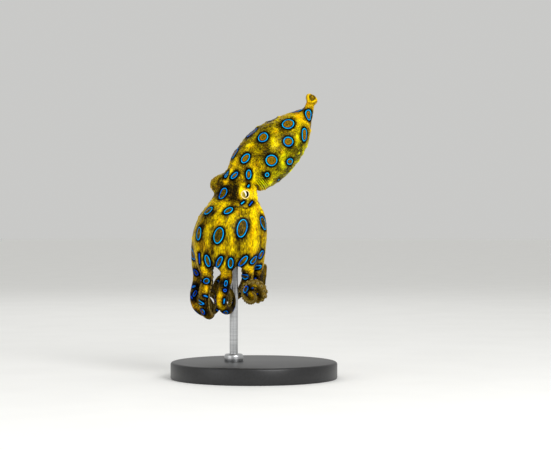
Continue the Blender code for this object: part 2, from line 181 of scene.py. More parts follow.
# The bell of arms: its leaning axis, its outer radius by height, and the way the animal's back faces
crown = {
    "top": 62.4,
    "armFoot": 37.4,  # where the arms leave the bell
    "axisX": [(37, -9.5), (45, -9.3), (53, -8.6), (62.4, -7.3)],
    "axisY": [(37, 0), (53, 0), (62.4, 0.8)],
    "radius": [(37, 12.4), (42, 13.2), (47.5, 13.6), (53.5, 13.3), (59, 11.6), (62.4, 9.5)],
    "depth": 0.94,
    "back": [(37, -22), (50, -34), (62.4, -32)],
    "edgeAtArms": 38.2,
    "edgeBetween": 40.8,
    "webThick": 1.05,
    "rim": 0.06,  # share of the path down, round and up again that rounds the web's rim
    "furrow": [(38, 1.5), (41, 1.25), (46, 0.75), (52, 0.38), (58, 0.22), (62.4, 0.12)],  # depth between arms
    "grid": (160, 110),
}

# The arms. Each has its place round from the back, the way it curls, its bends in radians per mm from the
# bell to the tip, its drift to the side and its taper
arms = {
    "length": 62.0,
    "rootRadius": 2.35,
    "tipRadius": 0.4,
    "tipRound": 0.985,  # share from which the tip is rounded off
    "step": 0.25,
    "level": 0.07,  # share over which the root end lies level
    "oralFlat": 0.86,
    "grid": (20, 130),
    "each": {
        "left_1": (22.5, 140.0, (-0.2, 0.25, 0.25, 0.55), -0.16, 2.6),
        "left_2": (67.5, 65.0, (0.0, 0.34, 0.3, 0.5), 0.21, 2.6),
        "left_3": (112.5, 182.0, (0.1, 0.2, 0.25, 0.3), 0.1, 1.9),
        "left_4": (157.5, 270.0, (0.0, 0.2, 0.3, 0.45), -0.1, 1.9),
        "right_4": (-157.5, 215.0, (0.05, 0.2, 0.25, 0.4), 0.16, 1.9),
        "right_3": (-112.5, 215.0, (0.05, 0.2, 0.3, 0.4), 0.16, 1.9),
        "right_2": (-67.5, 95.0, (-0.15, 0.2, 0.3, 0.45), -0.14, 2.6),
        "right_1": (-22.5, 155.0, (-0.2, 0.2, 0.3, 0.5), -0.12, 2.6),
    },
}
armCount = len(arms["each"])


def crownSpot(height, around, radius):
    way = facing(around)
    x = smoothValue(crown["axisX"], height) + way[..., 0] * radius
    y = smoothValue(crown["axisY"], height) + way[..., 1] * radius * crown["depth"]
    return np.stack([x, y, height + 0 * x], axis=-1)


def armRadius(share, taper):
    return arms["tipRadius"] + (arms["rootRadius"] - arms["tipRadius"]) * (1 - share**taper)


def armLine(around, curl, bends, drift, taper):  # spots, directions, sucker side and radius down an arm
    heights = np.arange(crown["top"], crown["armFoot"] + 0.01, -arms["step"])
    radii = armRadius((crown["top"] - heights) / arms["length"], taper)
    inset = smoothValue(crown["radius"], heights) - radii
    bell = crownSpot(heights, smoothValue(crown["back"], heights) + around, inset)
    spots = [Vector(spot) for spot in bell]
    along = (spots[-1] - spots[-2]).normalized()
    bellLength = np.linalg.norm(np.diff(bell, axis=0), axis=1).sum()
    steps = int((arms["length"] - bellLength) / arms["step"])
    pivot = along.cross(Vector(facing(curl))).normalized()
    table = [(i / (len(bends) - 1), bend) for i, bend in enumerate(bends)]
    for i in range(steps):
        along = Matrix.Rotation(float(smoothValue(table, i / steps)) * arms["step"], 3, pivot) @ along
        spots.append(spots[-1] + (along + pivot * drift) * arms["step"])
    axisTop = Vector(crownSpot(np.array(crown["top"]), np.array(0.0), 0.0))
    oral = (axisTop - spots[0]).normalized()
    directions, orals = [], []
    for i in range(len(spots)):
        direction = (spots[min(i + 1, len(spots) - 1)] - spots[max(i - 1, 0)]).normalized()
        oral = (oral - direction * oral.dot(direction)).normalized()
        directions.append(direction)
        orals.append(oral)
    shares = np.linspace(0, 1, len(spots))
    return {
        "spots": np.array(spots),
        "along": np.array(directions),
        "oral": np.array(orals),
        "share": shares,
        "radius": armRadius(shares, taper),
    }


armLines = {name: armLine(*values) for name, values in arms["each"].items()}


def lineAt(line, key, share):
    values = line[key]
    place = np.clip(share, 0, 1) * (len(values) - 1)
    i = np.minimum(place.astype(int), len(values) - 2)
    t = place - i
    t = t[:, None] if values.ndim > 1 else t
    return values[i] * (1 - t) + values[i + 1] * t


def armTube(line):
    def place(u, share):
        oral, along = lineAt(line, "oral", share), lineAt(line, "along", share)
        side = np.cross(along, oral)
        angle = math.tau * u
        tip = ease(share, arms["tipRound"], 1.0)
        radius = lineAt(line, "radius", share) * np.sqrt(np.clip(1 - tip**2, 0, 1))
        flat = np.where(np.cos(angle) > 0, arms["oralFlat"], 1.0)
        offset = oral * (np.cos(angle) * flat * radius)[:, None] + side * (np.sin(angle) * radius)[:, None]
        offset[:, 2] *= np.minimum(share / arms["level"], 1.0)
        return lineAt(line, "spots", share) + offset

    return mappedGrid(*arms["grid"], place)


def bellShell():  # the web and the outer skin of the bell, down the outside, round the rim and up the inside
    def place(u, v):
        between = np.sin(math.pi * (u * armCount - 0.5)) ** 2
        edge = crown["edgeAtArms"] + (crown["edgeBetween"] - crown["edgeAtArms"]) * between
        down = np.clip(np.where(v < 0.5, v, 1 - v) / (0.5 - crown["rim"] / 2), 0, 1)
        turn = np.clip((v - 0.5) / crown["rim"] + 0.5, 0, 1) * math.pi
        height = crown["top"] + (edge - crown["top"]) * down - np.sin(turn) * crown["webThick"] / 2
        outer = smoothValue(crown["radius"], height) - smoothValue(crown["furrow"], height) * between
        radius = outer - crown["webThick"] * (1 - np.cos(turn)) / 2
        return crownSpot(height, smoothValue(crown["back"], height) + 360 * u, radius)

    return mappedGrid(*crown["grid"], place)


# The head and neck, as rings of (height, x, y, half width, half depth, lean) and then of (place, radius)
# square to the mantle's axis. The nape's rings also have two shifts, to the belly and away from the camera
head = {
    "rings": [
        (61.0, -7.2, 0.8, 8.6, 8.2, 0.0),
        (62.7, -7.1, 0.9, 9.3, 8.9, 0.0),
        (64.5, -6.6, 1.2, 8.1, 7.8, 6.0),
        (67.0, -5.9, 1.5, 7.0, 6.9, 15.0),
        (69.4, -5.0, 1.8, 6.3, 6.3, 28.0),
    ],
    "neck": [(0.9, 5.9), (4.0, 5.2)],
    "grid": (64, 60),
    "nape": [(0.4, 6.4, -1.0, -0.5), (3.2, 7.7, -1.2, -0.6), (7.0, 8.5, -1.1, -0.4)],
    "napeFrom": 2,  # the head's ring from which the nape starts
    "napeShare": 0.96,  # of the head's width and depth there
    "napeGrid": (48, 40),
}
mantle = {
    "foot": (-3.96, 2.0, 71.32),
    "axis": (0.659, 0.174, 0.732),
    "width": [  # place up the axis, and radius
        (1.2, 7.0), (3.6, 8.3), (8, 9.6), (13.7, 10.15), (18.7, 9.6), (24.1, 8), (29.2, 5.6), (34.4, 2.3),
    ],
    "shift": [(1.2, 0), (8, 0.2), (18.7, 0.6), (26, 1.25), (34.4, 0.75)],  # towards the belly
    "depth": 0.93,
    "rim": [(4.2, 5.4), (1.6, 6.3), (1.25, 6.85), (1.6, 7.35)],  # place and radius, from inside it out
    "wallFrom": 2.2,  # place above which the wall follows the widths
    "wallRows": 50,
    "sides": 96,
}
mantleAxis = Vector(mantle["axis"]).normalized()
mantleBelly = Vector((mantleAxis.z, 0.0, -mantleAxis.x)).normalized()
mantleAway = mantleAxis.cross(mantleBelly)
mantleFoot = np.array(mantle["foot"])


def mantleSpot(place, radius, angle):
    belly = smoothValue(mantle["shift"], place) + np.cos(angle) * radius
    away = np.sin(angle) * radius * mantle["depth"]
    parts = ((place, mantleAxis), (belly, mantleBelly), (away, mantleAway))
    return sum((np.outer(much, way) for much, way in parts), mantleFoot)


# A smooth tube through rings of (centre, first half axis, second half axis)
def ringedTube(rings, across, down):
    table = np.array([np.concatenate(ring) for ring in rings])
    stations = np.arange(len(table))

    def place(u, v):
        at = v * (len(table) - 1)
        row = np.stack([smoothValue(np.stack([stations, column], 1), at) for column in table.T], 1)
        angle = (math.tau * u)[:, None]
        return row[:, :3] + row[:, 3:6] * np.cos(angle) + row[:, 6:] * np.sin(angle)

    return mappedGrid(across, down, place)


def headRings(rows, share=1.0):
    rings = []
    for height, x, y, wide, deep, lean in rows:
        drop = -wide * math.tan(math.radians(lean))
        rings.append(((x, y, height), (wide * share, 0, drop), (0, deep * share, 0)))
    return rings


def mantleRing(place, radius, shiftBelly=0.0, shiftAway=0.0):
    shift = float(smoothValue(mantle["shift"], place)) + shiftBelly
    centre = Vector(mantle["foot"]) + mantleAxis * place + mantleBelly * shift + mantleAway * shiftAway
    return tuple(centre), tuple(mantleBelly * radius), tuple(mantleAway * radius * mantle["depth"])


def headForm():
    rings = headRings(head["rings"]) + [mantleRing(*values) for values in head["neck"]]
    return ringedTube(rings, *head["grid"])


# Fills the step between head and mantle on the back, so that only the belly side has a free rim
def napeForm():
    rings = headRings(head["rings"][head["napeFrom"]:], head["napeShare"])
    rings += [mantleRing(*values) for values in head["nape"]]
    return ringedTube(rings, *head["napeGrid"])


def mantleForm():
    rimPlaces, rimRadii = np.array(mantle["rim"]).T
    wallPlaces = np.linspace(mantle["wallFrom"], mantle["width"][-1][0], mantle["wallRows"])
    profilePlaces = np.concatenate([rimPlaces, wallPlaces])
    profileRadii = np.concatenate([rimRadii, smoothValue(mantle["width"], wallPlaces)])
    rows = np.arange(len(profilePlaces))

    def place(u, v):
        places, radii = (np.interp(v * rows[-1], rows, column) for column in (profilePlaces, profileRadii))
        return mantleSpot(places, radii, math.tau * u)

    return mappedGrid(mantle["sides"], len(rows) - 1, place)


# The papilla at the mantle's tip, as (x, y, height, radius). The cup in its knob is pressed in later
papilla = [
    (18.6, 7.9, 94.6, 2.7), (19.75, 8.15, 97.05, 1.95), (20.3, 8.3, 98.6, 1.6), (20.7, 8.4, 99.8, 1.8),
    (20.9, 8.45, 100.8, 2.3), (20.95, 8.5, 101.7, 2.25), (21.0, 8.5, 102.4, 1.75), (21.0, 8.5, 102.78, 0.9),
]
papillaCup = {
    "place": (312.4, 97.4),  # column and row of its middle in the picture
    "radius": 2.9,  # there, in pixels
    "above": 98,  # only the skin above this height
    "deep": 0.3,
    "rim": 0.15,
}
# The funnel under the head, as (x, y, height, radius) down its axis and back up its bore
funnel = [
    (-1.9, 7.4, 70.0, 1.9), (-1.25, 8.9, 68.2, 1.9), (-1.2, 9.35, 65.8, 1.85), (-0.7, 10.5, 63.6, 1.5),
    (-0.45, 11.3, 62.05, 1.25), (-0.4, 11.4, 61.9, 0.95), (-0.6, 10.9, 62.8, 0.7), (-0.8, 10.3, 64.0, 0.55),
]
tube = {"grid": (32, 48), "squareTo": (0, 4)}  # the rows between which the axis is taken


def tubeForm(table):  # a tube through (x, y, height, radius), square to one axis
    start, stop = (Vector(table[row][:3]) for row in tube["squareTo"])
    axis = (stop - start).normalized()
    first = axis.orthogonal().normalized()
    second = axis.cross(first)
    rings = [((x, y, z), tuple(first * r), tuple(second * r)) for x, y, z, r in table]
    return ringedTube(rings, *tube["grid"])


# The eyes: centre of each dome, the way it looks and how far up, and the side to which its slit bows
eyes = {
    "left": {"centre": (-4.0, -4.1, 66.25), "around": 18.0, "up": -4.0, "bow": 1.0, "lidTone": 0.0},
    "right": {"centre": (-12.3, 0.9, 69.6), "around": -98.0, "up": 8.0, "bow": -1.0, "lidTone": 0.85},
}
eyeShape = {
    "dome": 3.55,
    "cushion": 4.5,  # a wider, flatter swelling under the dome
    "cushionBack": 1.7,
    "domeSteps": 4,  # subdivisions of both
    "ball": 2.2,
    "ballGrid": (64, 72),
    "forward": 1.4,
    "socket": 2.38,
    "opening": 1.52,
    "openingSoft": 0.2,
    "openingSpan": (-0.5, 4),  # skin between these, forward of the eyeball's centre, is pressed back
}


def ballForm(centre, radius):
    bm = bmesh.new()
    bmesh.ops.create_icosphere(
        bm, subdivisions=eyeShape["domeSteps"], radius=radius, matrix=Matrix.Translation(centre),
    )
    return bm


skinMake = {
    "voxel": 0.37,
    "smoothRounds": 4,
    "headRounds": 22,  # more smoothing where head, domes and mantle meet
    "headFrom": (60.5, 63.0),  # heights over which that begins
    "headTo": (3.0, 8.0),  # places up the mantle over which it ends
    "rimHalf": 70,  # how far round from the belly side the mantle's rim is free, in degrees
    "rimFade": 25,
    "rimOut": (2.0, 4.0),  # towards the belly
}


def buildFlesh():
    whole = bmesh.new()
    for line in armLines.values():
        addForm(whole, armTube(line))
    for form in (bellShell(), headForm(), napeForm(), mantleForm(), tubeForm(papilla), tubeForm(funnel)):
        addForm(whole, form)
    for eye in eyes.values():
        look = Vector(facing(eye["around"], eye["up"]))
        centre = Vector(eye["centre"])
        addForm(whole, ballForm(centre, eyeShape["dome"]))
        addForm(whole, ballForm(centre - look * eyeShape["cushionBack"], eyeShape["cushion"]))
    flesh = bpy.data.objects.new("flesh", meshOf("flesh", whole))
    bpy.context.scene.collection.objects.link(flesh)
    remesh = flesh.modifiers.new("one skin", "REMESH")
    remesh.mode = "VOXEL"
    remesh.voxel_size = skinMake["voxel"]
    graph = bpy.context.evaluated_depsgraph_get()
    mesh = bpy.data.meshes.new_from_object(flesh.evaluated_get(graph))
    bpy.data.objects.remove(flesh)
    return mesh


def meshSpots(mesh):
    spots = np.empty(len(mesh.vertices) * 3)
    mesh.vertices.foreach_get("co", spots)
    return spots.reshape(-1, 3)


def meshNormals(mesh):
    normals = np.empty(len(mesh.vertices) * 3, np.float32)
    mesh.vertex_normals.foreach_get("vector", normals)
    return normals.reshape(-1, 3).astype(float)


def moveSpots(mesh, spots):
    mesh.vertices.foreach_set("co", spots.astype(np.float32).ravel())
    mesh.update()


def relaxed(spots, edges, weight, rounds):  # each point drawn towards the middle of its neighbours
    count = np.bincount(edges.ravel(), minlength=len(spots))[:, None]
    for _ in range(rounds):
        total = np.zeros_like(spots)
        for k in range(3):
            total[:, k] += np.bincount(edges[:, 0], spots[edges[:, 1], k], len(spots))
            total[:, k] += np.bincount(edges[:, 1], spots[edges[:, 0], k], len(spots))
        spots = spots + (total / count - spots) * 0.5 * weight[:, None]
    return spots


skinMesh = buildFlesh()
spots = meshSpots(skinMesh)
edges = np.empty(len(skinMesh.edges) * 2, int)
skinMesh.edges.foreach_get("vertices", edges)
edges = edges.reshape(-1, 2)
ones, noughts = np.ones(len(spots)), np.zeros(len(spots))
print("one skin:", len(spots), "points")

# Smoothing everywhere, and more round the head, but not at the mantle's free rim
fromFoot = spots - mantleFoot
upMantle, bellySide, awaySide = (fromFoot @ np.array(way) for way in (mantleAxis, mantleBelly, mantleAway))
mantleAngle = np.degrees(np.arctan2(awaySide, bellySide))  # 0 on the belly side, -90 to the camera
freeRim = ease(skinMake["rimHalf"] - np.abs(mantleAngle), 0, skinMake["rimFade"])
freeRim = freeRim * ease(bellySide, *skinMake["rimOut"])
headZone = ease(spots[:, 2], *skinMake["headFrom"]) * (1 - ease(upMantle, *skinMake["headTo"]))
headZone = headZone * (1 - freeRim)
spots = relaxed(spots, edges, ones, skinMake["smoothRounds"])
spots = relaxed(spots, edges, headZone, skinMake["headRounds"])
skinHeight = spots[:, 2]
moveSpots(skinMesh, spots)
print("skin smoothed")

# Where each point of the skin lies: how far along the nearest arm, and on which side of it
armPoints = {
    key: np.concatenate([line[key] for line in armLines.values()])
    for key in ("spots", "radius", "share", "oral")
}


def nearestArm(spots, batch=8192):  # worked out in batches, to spare memory
    nearest = np.empty(len(spots), int)
    middles = armPoints["spots"]
    for start in range(0, len(spots), batch):
        some = spots[start:start + batch]
        square = (some**2).sum(1)[:, None] + (middles**2).sum(1)[None] - 2 * some @ middles.T
        nearest[start:start + batch] = (np.sqrt(np.maximum(square, 0)) - armPoints["radius"]).argmin(1)
    return nearest


nearest = nearestArm(spots)
armShare, armSpot, armOral = (armPoints[key][nearest] for key in ("share", "spots", "oral"))
oralSide = (unitLong(spots - armSpot) * armOral).sum(1)  # 1 on the sucker side, -1 on the outer side

# The inner skin: inside the bell, on the sucker side of the free arms and round the mouth
innerSkin = {
    "bellTop": 62.3,
    "depth": (1.6, 2.4),  # within the bell's outside
    "freeFrom": 0.5,  # above the web's edge between two arms
    "freeFade": 2.5,
    "side": (0.2, 0.6),
    "mouthTop": 61.6,
    "mouthFade": 0.6,
    "mouthRadius": 7.5,
}
fromAxis = spots - crownSpot(skinHeight, noughts, noughts)
crownDistance = np.hypot(fromAxis[:, 0], fromAxis[:, 1] / crown["depth"])
crownAround = np.degrees(np.arctan2(fromAxis[:, 0], -fromAxis[:, 1] / crown["depth"]))
fromBack = crownAround - smoothValue(crown["back"], skinHeight)
between = np.sin(math.pi * (fromBack / (360 / armCount) - 0.5)) ** 2  # 1 in the middle between two arms
inBell = (skinHeight > crown["edgeAtArms"]) & (skinHeight < innerSkin["bellTop"])
depthInBell = smoothValue(crown["radius"], skinHeight) - crownDistance
insideBell = inBell * ease(depthInBell, *innerSkin["depth"])
freeArm = ease(crown["edgeBetween"] + innerSkin["freeFrom"] - skinHeight, 0, innerSkin["freeFade"])
roundMouth = ease(innerSkin["mouthTop"] - skinHeight, 0, innerSkin["mouthFade"])
oral = np.maximum(insideBell, freeArm * ease(oralSide, *innerSkin["side"]))
oral = np.maximum(oral, roundMouth * (crownDistance < innerSkin["mouthRadius"]) * inBell)

skinFaces = [list(face.vertices) for face in skinMesh.polygons]
skinTree = BVHTree.FromPolygons([Vector(spot) for spot in spots], skinFaces)
skinNormals = meshNormals(skinMesh)
print("skin measured")

# Rings in the picture: (column, row, long, wide, lean of the long side from level, depth of blue). Places and
# sizes are in pixels. A ring that lies past the outline shows on the skin's edge
pictureRings = {
    "mantle": [
        (308.5, 115.0, 12.0, 7.0, 98, 0.1), (297.0, 110.0, 11.5, 4.5, 20, 0.4),
        (288.1, 123.8, 13.4, 10.7, 15, 0.1), (304.6, 134.7, 14.3, 6.2, 89, 0.1),
        (263.0, 137.1, 11.5, 10.0, 35, 0.2), (288.4, 141.5, 11.0, 10.7, 0, 0.2),
        (251.9, 132.6, 14.0, 3.4, 40, 0.5), (234.7, 152.9, 13.0, 4.0, 60, 0.3),
        (245.5, 158.2, 12.0, 8.0, 50, 0.1), (271.6, 160.4, 12.6, 12.0, 0, 0.1),
        (290.0, 161.6, 7.7, 6.7, 45, 0.1), (248.7, 174.4, 10.2, 6.4, 88, 0.1),
        (234.5, 175.4, 10.0, 5.2, 45, 0.3), (267.1, 174.7, 5.3, 5.3, 0, 0.0),
        (278.7, 180.0, 2.6, 2.6, 0, 0.2), (226.7, 174.7, 8.0, 3.6, 60, 0.4),
        (271.8, 119.4, 7.0, 2.4, 30, 0.9),
    ],
    "head": [
        (223.0, 193.6, 13.3, 7.3, 60, 0.5), (248.5, 185.9, 4.4, 2.6, 62, 0.0),
        (242.7, 202.8, 5.5, 2.1, 42, 0.0), (251.2, 203.2, 7.0, 2.0, 52, 0.7),
    ],
    "crown": [
        (208.3, 210.5, 11.0, 6.0, 38, 0.2), (228.4, 210.5, 10.5, 6.4, 28, 0.1),
        (198.5, 233.5, 14.2, 6.2, 84, 0.2), (218.3, 235.4, 17.4, 10.3, 76, 0.1),
        (242.2, 228.1, 19.0, 11.0, 78, 0.1), (263.9, 223.1, 15.0, 6.0, 104, 0.2),
        (192.2, 254.1, 13.0, 5.6, 110, 0.3), (199.3, 258.5, 12.0, 1.8, 92, 0.9),
        (207.5, 260.8, 13.0, 6.2, 105, 0.2), (219.0, 262.1, 13.0, 6.0, 65, 0.4),
        (230.7, 263.1, 11.2, 6.4, 88, 0.1), (243.1, 261.2, 14.0, 6.4, 50, 0.5),
        (254.2, 260.0, 10.0, 5.0, 58, 0.3), (261.2, 254.6, 10.0, 5.0, 62, 0.4),
        (257.3, 265.6, 9.0, 1.8, 4, 0.5), (257.3, 268.8, 8.5, 1.8, 2, 0.6),
    ],
    "lower": [
        (195.7, 272.5, 8.0, 5.0, 125, 0.9), (206.4, 280.9, 7.3, 6.6, 0, 0.3),
        (200.9, 280.6, 2.6, 1.6, 30, 0.7), (212.3, 281.2, 2.4, 1.6, 0, 0.7),
        (225.9, 283.3, 7.4, 4.4, 80, 0.4), (225.1, 290.4, 4.6, 4.4, 0, 0.8),
        (219.6, 282.8, 6.5, 2.4, 112, 0.8), (239.0, 275.6, 10.0, 4.6, 152, 0.5),
        (244.4, 277.6, 6.0, 4.4, 150, 0.2), (235.9, 288.1, 8.4, 5.0, 125, 0.5),
        (245.8, 289.3, 8.5, 5.4, 65, 0.8), (253.0, 287.8, 4.0, 2.8, 20, 0.8),
        (257.3, 293.9, 3.2, 2.4, 0, 1.0), (255.4, 278.6, 3.6, 3.0, 60, 1.0),
        (206.0, 296.2, 6.2, 2.4, 160, 0.6), (199.1, 301.9, 8.0, 4.0, 130, 0.4),
        (194.9, 293.5, 8.0, 4.4, 60, 0.9), (193.0, 286.6, 6.0, 3.0, 20, 0.9),
        (191.5, 297.3, 5.0, 2.6, 120, 0.9), (215.6, 300.4, 8.0, 3.0, 100, 0.9),
        (224.2, 301.2, 7.0, 2.6, 86, 0.5), (231.6, 302.3, 4.0, 2.4, 80, 0.6),
        (217.5, 310.3, 4.0, 2.4, 140, 0.9),
    ],
}
ringLine = {
    "halfWidth": 0.125,  # of the blue line, in mm
    "inset": 0.34,  # from a ring's outer edge in the picture to the middle of its line
    "fineOnArms": 1.2,  # how much finer the line is on the free arms
    "leastFacing": 0.35,  # a ring near the outline isn't drawn out more than this allows
    "leastWide": 0.06,
    "bar": 0.2,  # a dash or a narrow ring, at most this wide for its length, is measured as a rounded bar
    "far": 9.0,  # the distance stored where no ring is near
    # how dark the skin is within the line
    "inside": {"mantle": 0.2, "head": 0.6, "crown": 0.65, "lower": 0.9, "rule": 0.4},
}


def tangents(normal):
    first = np.cross(normal, (0.0, 0.0, 1.0))
    first = unitLong(first) if np.linalg.norm(first) > 1e-3 else np.array((1.0, 0.0, 0.0))
    return first, np.cross(first, normal)


def skinAt(column, row):  # the skin that shows at a pixel, or else the nearest to it that shows
    for far in np.arange(0, 12, 0.5):
        for way in np.radians(np.arange(0, 360, 30)):
            target = pixelSpot(column + far * math.cos(way), row + far * math.sin(way))
            spot, normal, _, _ = skinTree.ray_cast(cameraSpot, (target - cameraSpot).normalized())
            if spot is not None:
                return np.array(spot), np.array(normal)
    raise ValueError("no skin near that pixel")


def pictureRing(group, column, row, long, wide, lean, depth):
    spot, normal = skinAt(column, row)
    first, second = tangents(normal)
    toPicture = np.array([[first[0], second[0]], [first[2], second[2]]])
    left, sizes, right = np.linalg.svd(toPicture)
    toPicture = left @ np.diag((1.0, max(sizes[1], ringLine["leastFacing"]))) @ right
    outer = [size * photo["mmPerPixel"] / 2 for size in (long, wide)]
    halves = [max(half - ringLine["inset"], ringLine["leastWide"]) for half in outer]
    angle = math.radians(lean)
    turn = np.array([[math.cos(angle), -math.sin(angle)], [math.sin(angle), math.cos(angle)]])
    inPicture = turn @ np.diag([1 / half**2 for half in halves]) @ turn.T
    return {
        "spot": spot, "normal": normal, "first": first, "second": second,
        "shape": toPicture.T @ inPicture @ toPicture,
        "reach": halves[0] / max(ringLine["leastFacing"], abs(normal[1])),
        "size": halves[0], "depth": depth, "inside": ringLine["inside"][group],
        "fine": ringLine["fineOnArms"] if group == "lower" else 1.0,
    }


# A ring set by rule, with its long side along a direction
def surfaceRing(spot, along, long, wide, depth, fine=1.0):
    near, normal, _, _ = skinTree.find_nearest(Vector(spot))
    normal = np.array(normal)
    first = unitLong(along - normal * (along @ normal))
    return {
        "spot": np.array(near), "normal": normal, "first": first, "second": np.cross(normal, first),
        "shape": np.diag((1 / (long / 2) ** 2, 1 / (wide / 2) ** 2)), "reach": long / 2,
        "size": long / 2, "depth": depth, "inside": ringLine["inside"]["rule"], "fine": fine,
    }


def isClear(ring, room):  # whether it keeps that much room from the rings set before it
    return all(
        np.linalg.norm(ring["spot"] - other["spot"]) > ring["size"] + other["size"] * 0.9 + room
        for other in rings
    )


rings = [pictureRing(group, *values) for group, table in pictureRings.items() for values in table]
pictureCount = len(rings)
ruleRings = {
    "seed": 11,
    # on each hidden arm in the bell: height, long, wide, and the places round from the arm's back
    "bell": [(59.4, 3.2, 1.9, (0.0,)), (51.8, 6.2, 3.6, (0.0,)), (43.0, 4.4, 2.0, (-9.0, 10.0))],
    "bellShift": 0.8,
    "bellTilt": 0.3,
    "bellLong": (0.9, 1.1),
    "bellDepth": (0, 0.4),
    "bellHidden": -0.1,  # how much the skin may still face the camera
    "bellRoom": 0.4,
    "armSpan": (25.5, 0.95),  # from this many mm to this share of an arm
    "armPitch": 4.9,
    "armAside": 0.7,
    "armLong": 1.2,  # in arm radii
    "armSpread": (0.8, 1.1),
    "armWide": 0.6,  # for its length
    "armDepth": (0.5, 1.0),
    "armRoom": (0.9, 0.3),  # kept on the arms that the picture shows, and on the others
    "mantleSizes": (2.2, 4.6),
    "mantleWide": (0.65, 0.95),
    "mantleDepth": (0, 0.4),
    "mantleRoom": 3.1,
    "mantleHidden": 0.3,
    "mantleFrom": 63.5,  # height
    "mantleTo": 31,  # place up the axis
    "clearOfFunnel": 2.2,
    "clearOfLid": 4.2,
}
random = np.random.default_rng(ruleRings["seed"])
for placeRound, *_ in arms["each"].values():  # the far arms' rings within the bell's height
    for height, long, wide, offsets in ruleRings["bell"]:
        around = smoothValue(crown["back"], height) + placeRound
        radius = smoothValue(crown["radius"], height)
        shift, tilt = ruleRings["bellShift"], ruleRings["bellTilt"]
        for offset in offsets:
            heightHere = np.array(height + random.uniform(-shift, shift))
            spot = crownSpot(heightHere, np.array(around + offset), radius)
            along = np.array((random.uniform(-tilt, tilt), random.uniform(-tilt, tilt), 1.0))
            longHere = long * random.uniform(*ruleRings["bellLong"])
            ring = surfaceRing(spot, along, longHere, wide, random.uniform(*ruleRings["bellDepth"]))
            if ring["normal"][1] > ruleRings["bellHidden"] and isClear(ring, ruleRings["bellRoom"]):
                rings.append(ring)
for line in armLines.values():  # rings down the outer side of every free arm
    reached, stop = ruleRings["armSpan"]
    while reached < arms["length"] * stop:
        share = np.array([reached / arms["length"]])
        at = {key: lineAt(line, key, share)[0] for key in ("spots", "along", "oral", "radius")}
        radius, out = at["radius"], -at["oral"]
        side = np.cross(at["along"], out)
        lean = random.uniform(-ruleRings["armAside"], ruleRings["armAside"])
        spot = at["spots"] + (out * math.cos(lean) + side * math.sin(lean)) * radius
        long = radius * ruleRings["armLong"] * random.uniform(*ruleRings["armSpread"])
        wide, depth = long * ruleRings["armWide"], random.uniform(*ruleRings["armDepth"])
        ring = surfaceRing(spot, at["along"], long, wide, depth, ringLine["fineOnArms"])
        shown, hidden = ruleRings["armRoom"]
        if isClear(ring, shown if ring["normal"][1] < -0.1 else hidden):
            rings.append(ring)
        reached += ruleRings["armPitch"] * (0.45 + 0.55 * radius / arms["rootRadius"])
taken = (freeRim > 0.2) & (upMantle < 4.5)  # no ring by rule on the free rim, the funnel or the lids
onFunnel = np.zeros(len(spots))
for *middle, radius in funnel:
    away = np.linalg.norm(spots - middle, axis=1) - radius
    taken |= away < ruleRings["clearOfFunnel"]
    onFunnel = np.maximum(onFunnel, ease(0.6 - away, 0, 0.4))
for eye in eyes.values():
    lid = np.array(eye["centre"]) + facing(eye["around"], eye["up"]) * eyeShape["dome"]
    taken |= np.linalg.norm(spots - lid, axis=1) < ruleRings["clearOfLid"]
onBody = (skinHeight > ruleRings["mantleFrom"]) & (upMantle < ruleRings["mantleTo"])
candidates = np.flatnonzero((skinNormals[:, 1] > ruleRings["mantleHidden"]) & onBody & ~taken)
for index in random.permutation(candidates):  # the sides of mantle and head that the picture doesn't show
    long = random.uniform(*ruleRings["mantleSizes"]) * (1 - 0.35 * ease(np.abs(upMantle[index] - 15), 8, 16))
    wide = long * random.uniform(*ruleRings["mantleWide"])
    depth = random.uniform(*ruleRings["mantleDepth"])
    ring = surfaceRing(spots[index], np.array(mantleAxis), long, wide, depth)
    if isClear(ring, ruleRings["mantleRoom"] - 0.35 * long):
        rings.append(ring)
print("rings:", pictureCount, "from the picture,", len(rings) - pictureCount, "by rule")


def paintRings():  # signed distance to the nearest ring's line, how deep its blue is and how dark its middle
    distance = np.full(len(spots), ringLine["far"])
    tone, inside = np.zeros(len(spots)), np.zeros(len(spots))
    for ring in rings:
        away = spots - ring["spot"]
        close = (np.abs(away) < ring["reach"] * 1.3 + 2.5).all(1)
        close &= skinNormals @ ring["normal"] > 0.15
        close &= np.abs(away @ ring["normal"]) < 1.2 + 0.35 * ring["reach"]
        chosen = np.flatnonzero(close)
        flat = np.stack([away[chosen] @ ring["first"], away[chosen] @ ring["second"]], 1)
        steep, ways = np.linalg.eigh(ring["shape"])
        long, wide = 1 / np.sqrt(steep)
        if wide < ringLine["bar"] * long:
            beyond = np.maximum(np.abs(flat @ ways[:, 0]) - (long - wide), 0)
            signed = np.hypot(beyond, flat @ ways[:, 1]) - wide
        else:
            slope = flat @ ring["shape"]
            ratio = np.sqrt(np.maximum((flat * slope).sum(1), 1e-9))
            signed = ratio * (ratio - 1) / np.maximum(np.linalg.norm(slope, axis=1), 1e-6)
        signed *= ring["fine"]
        better = signed < distance[chosen]
        distance[chosen[better]] = signed[better]
        tone[chosen[better]] = ring["depth"]
        inside[chosen[better]] = ring["inside"]
    return distance, tone, inside


ringMm, ringTone, ringInside = paintRings()

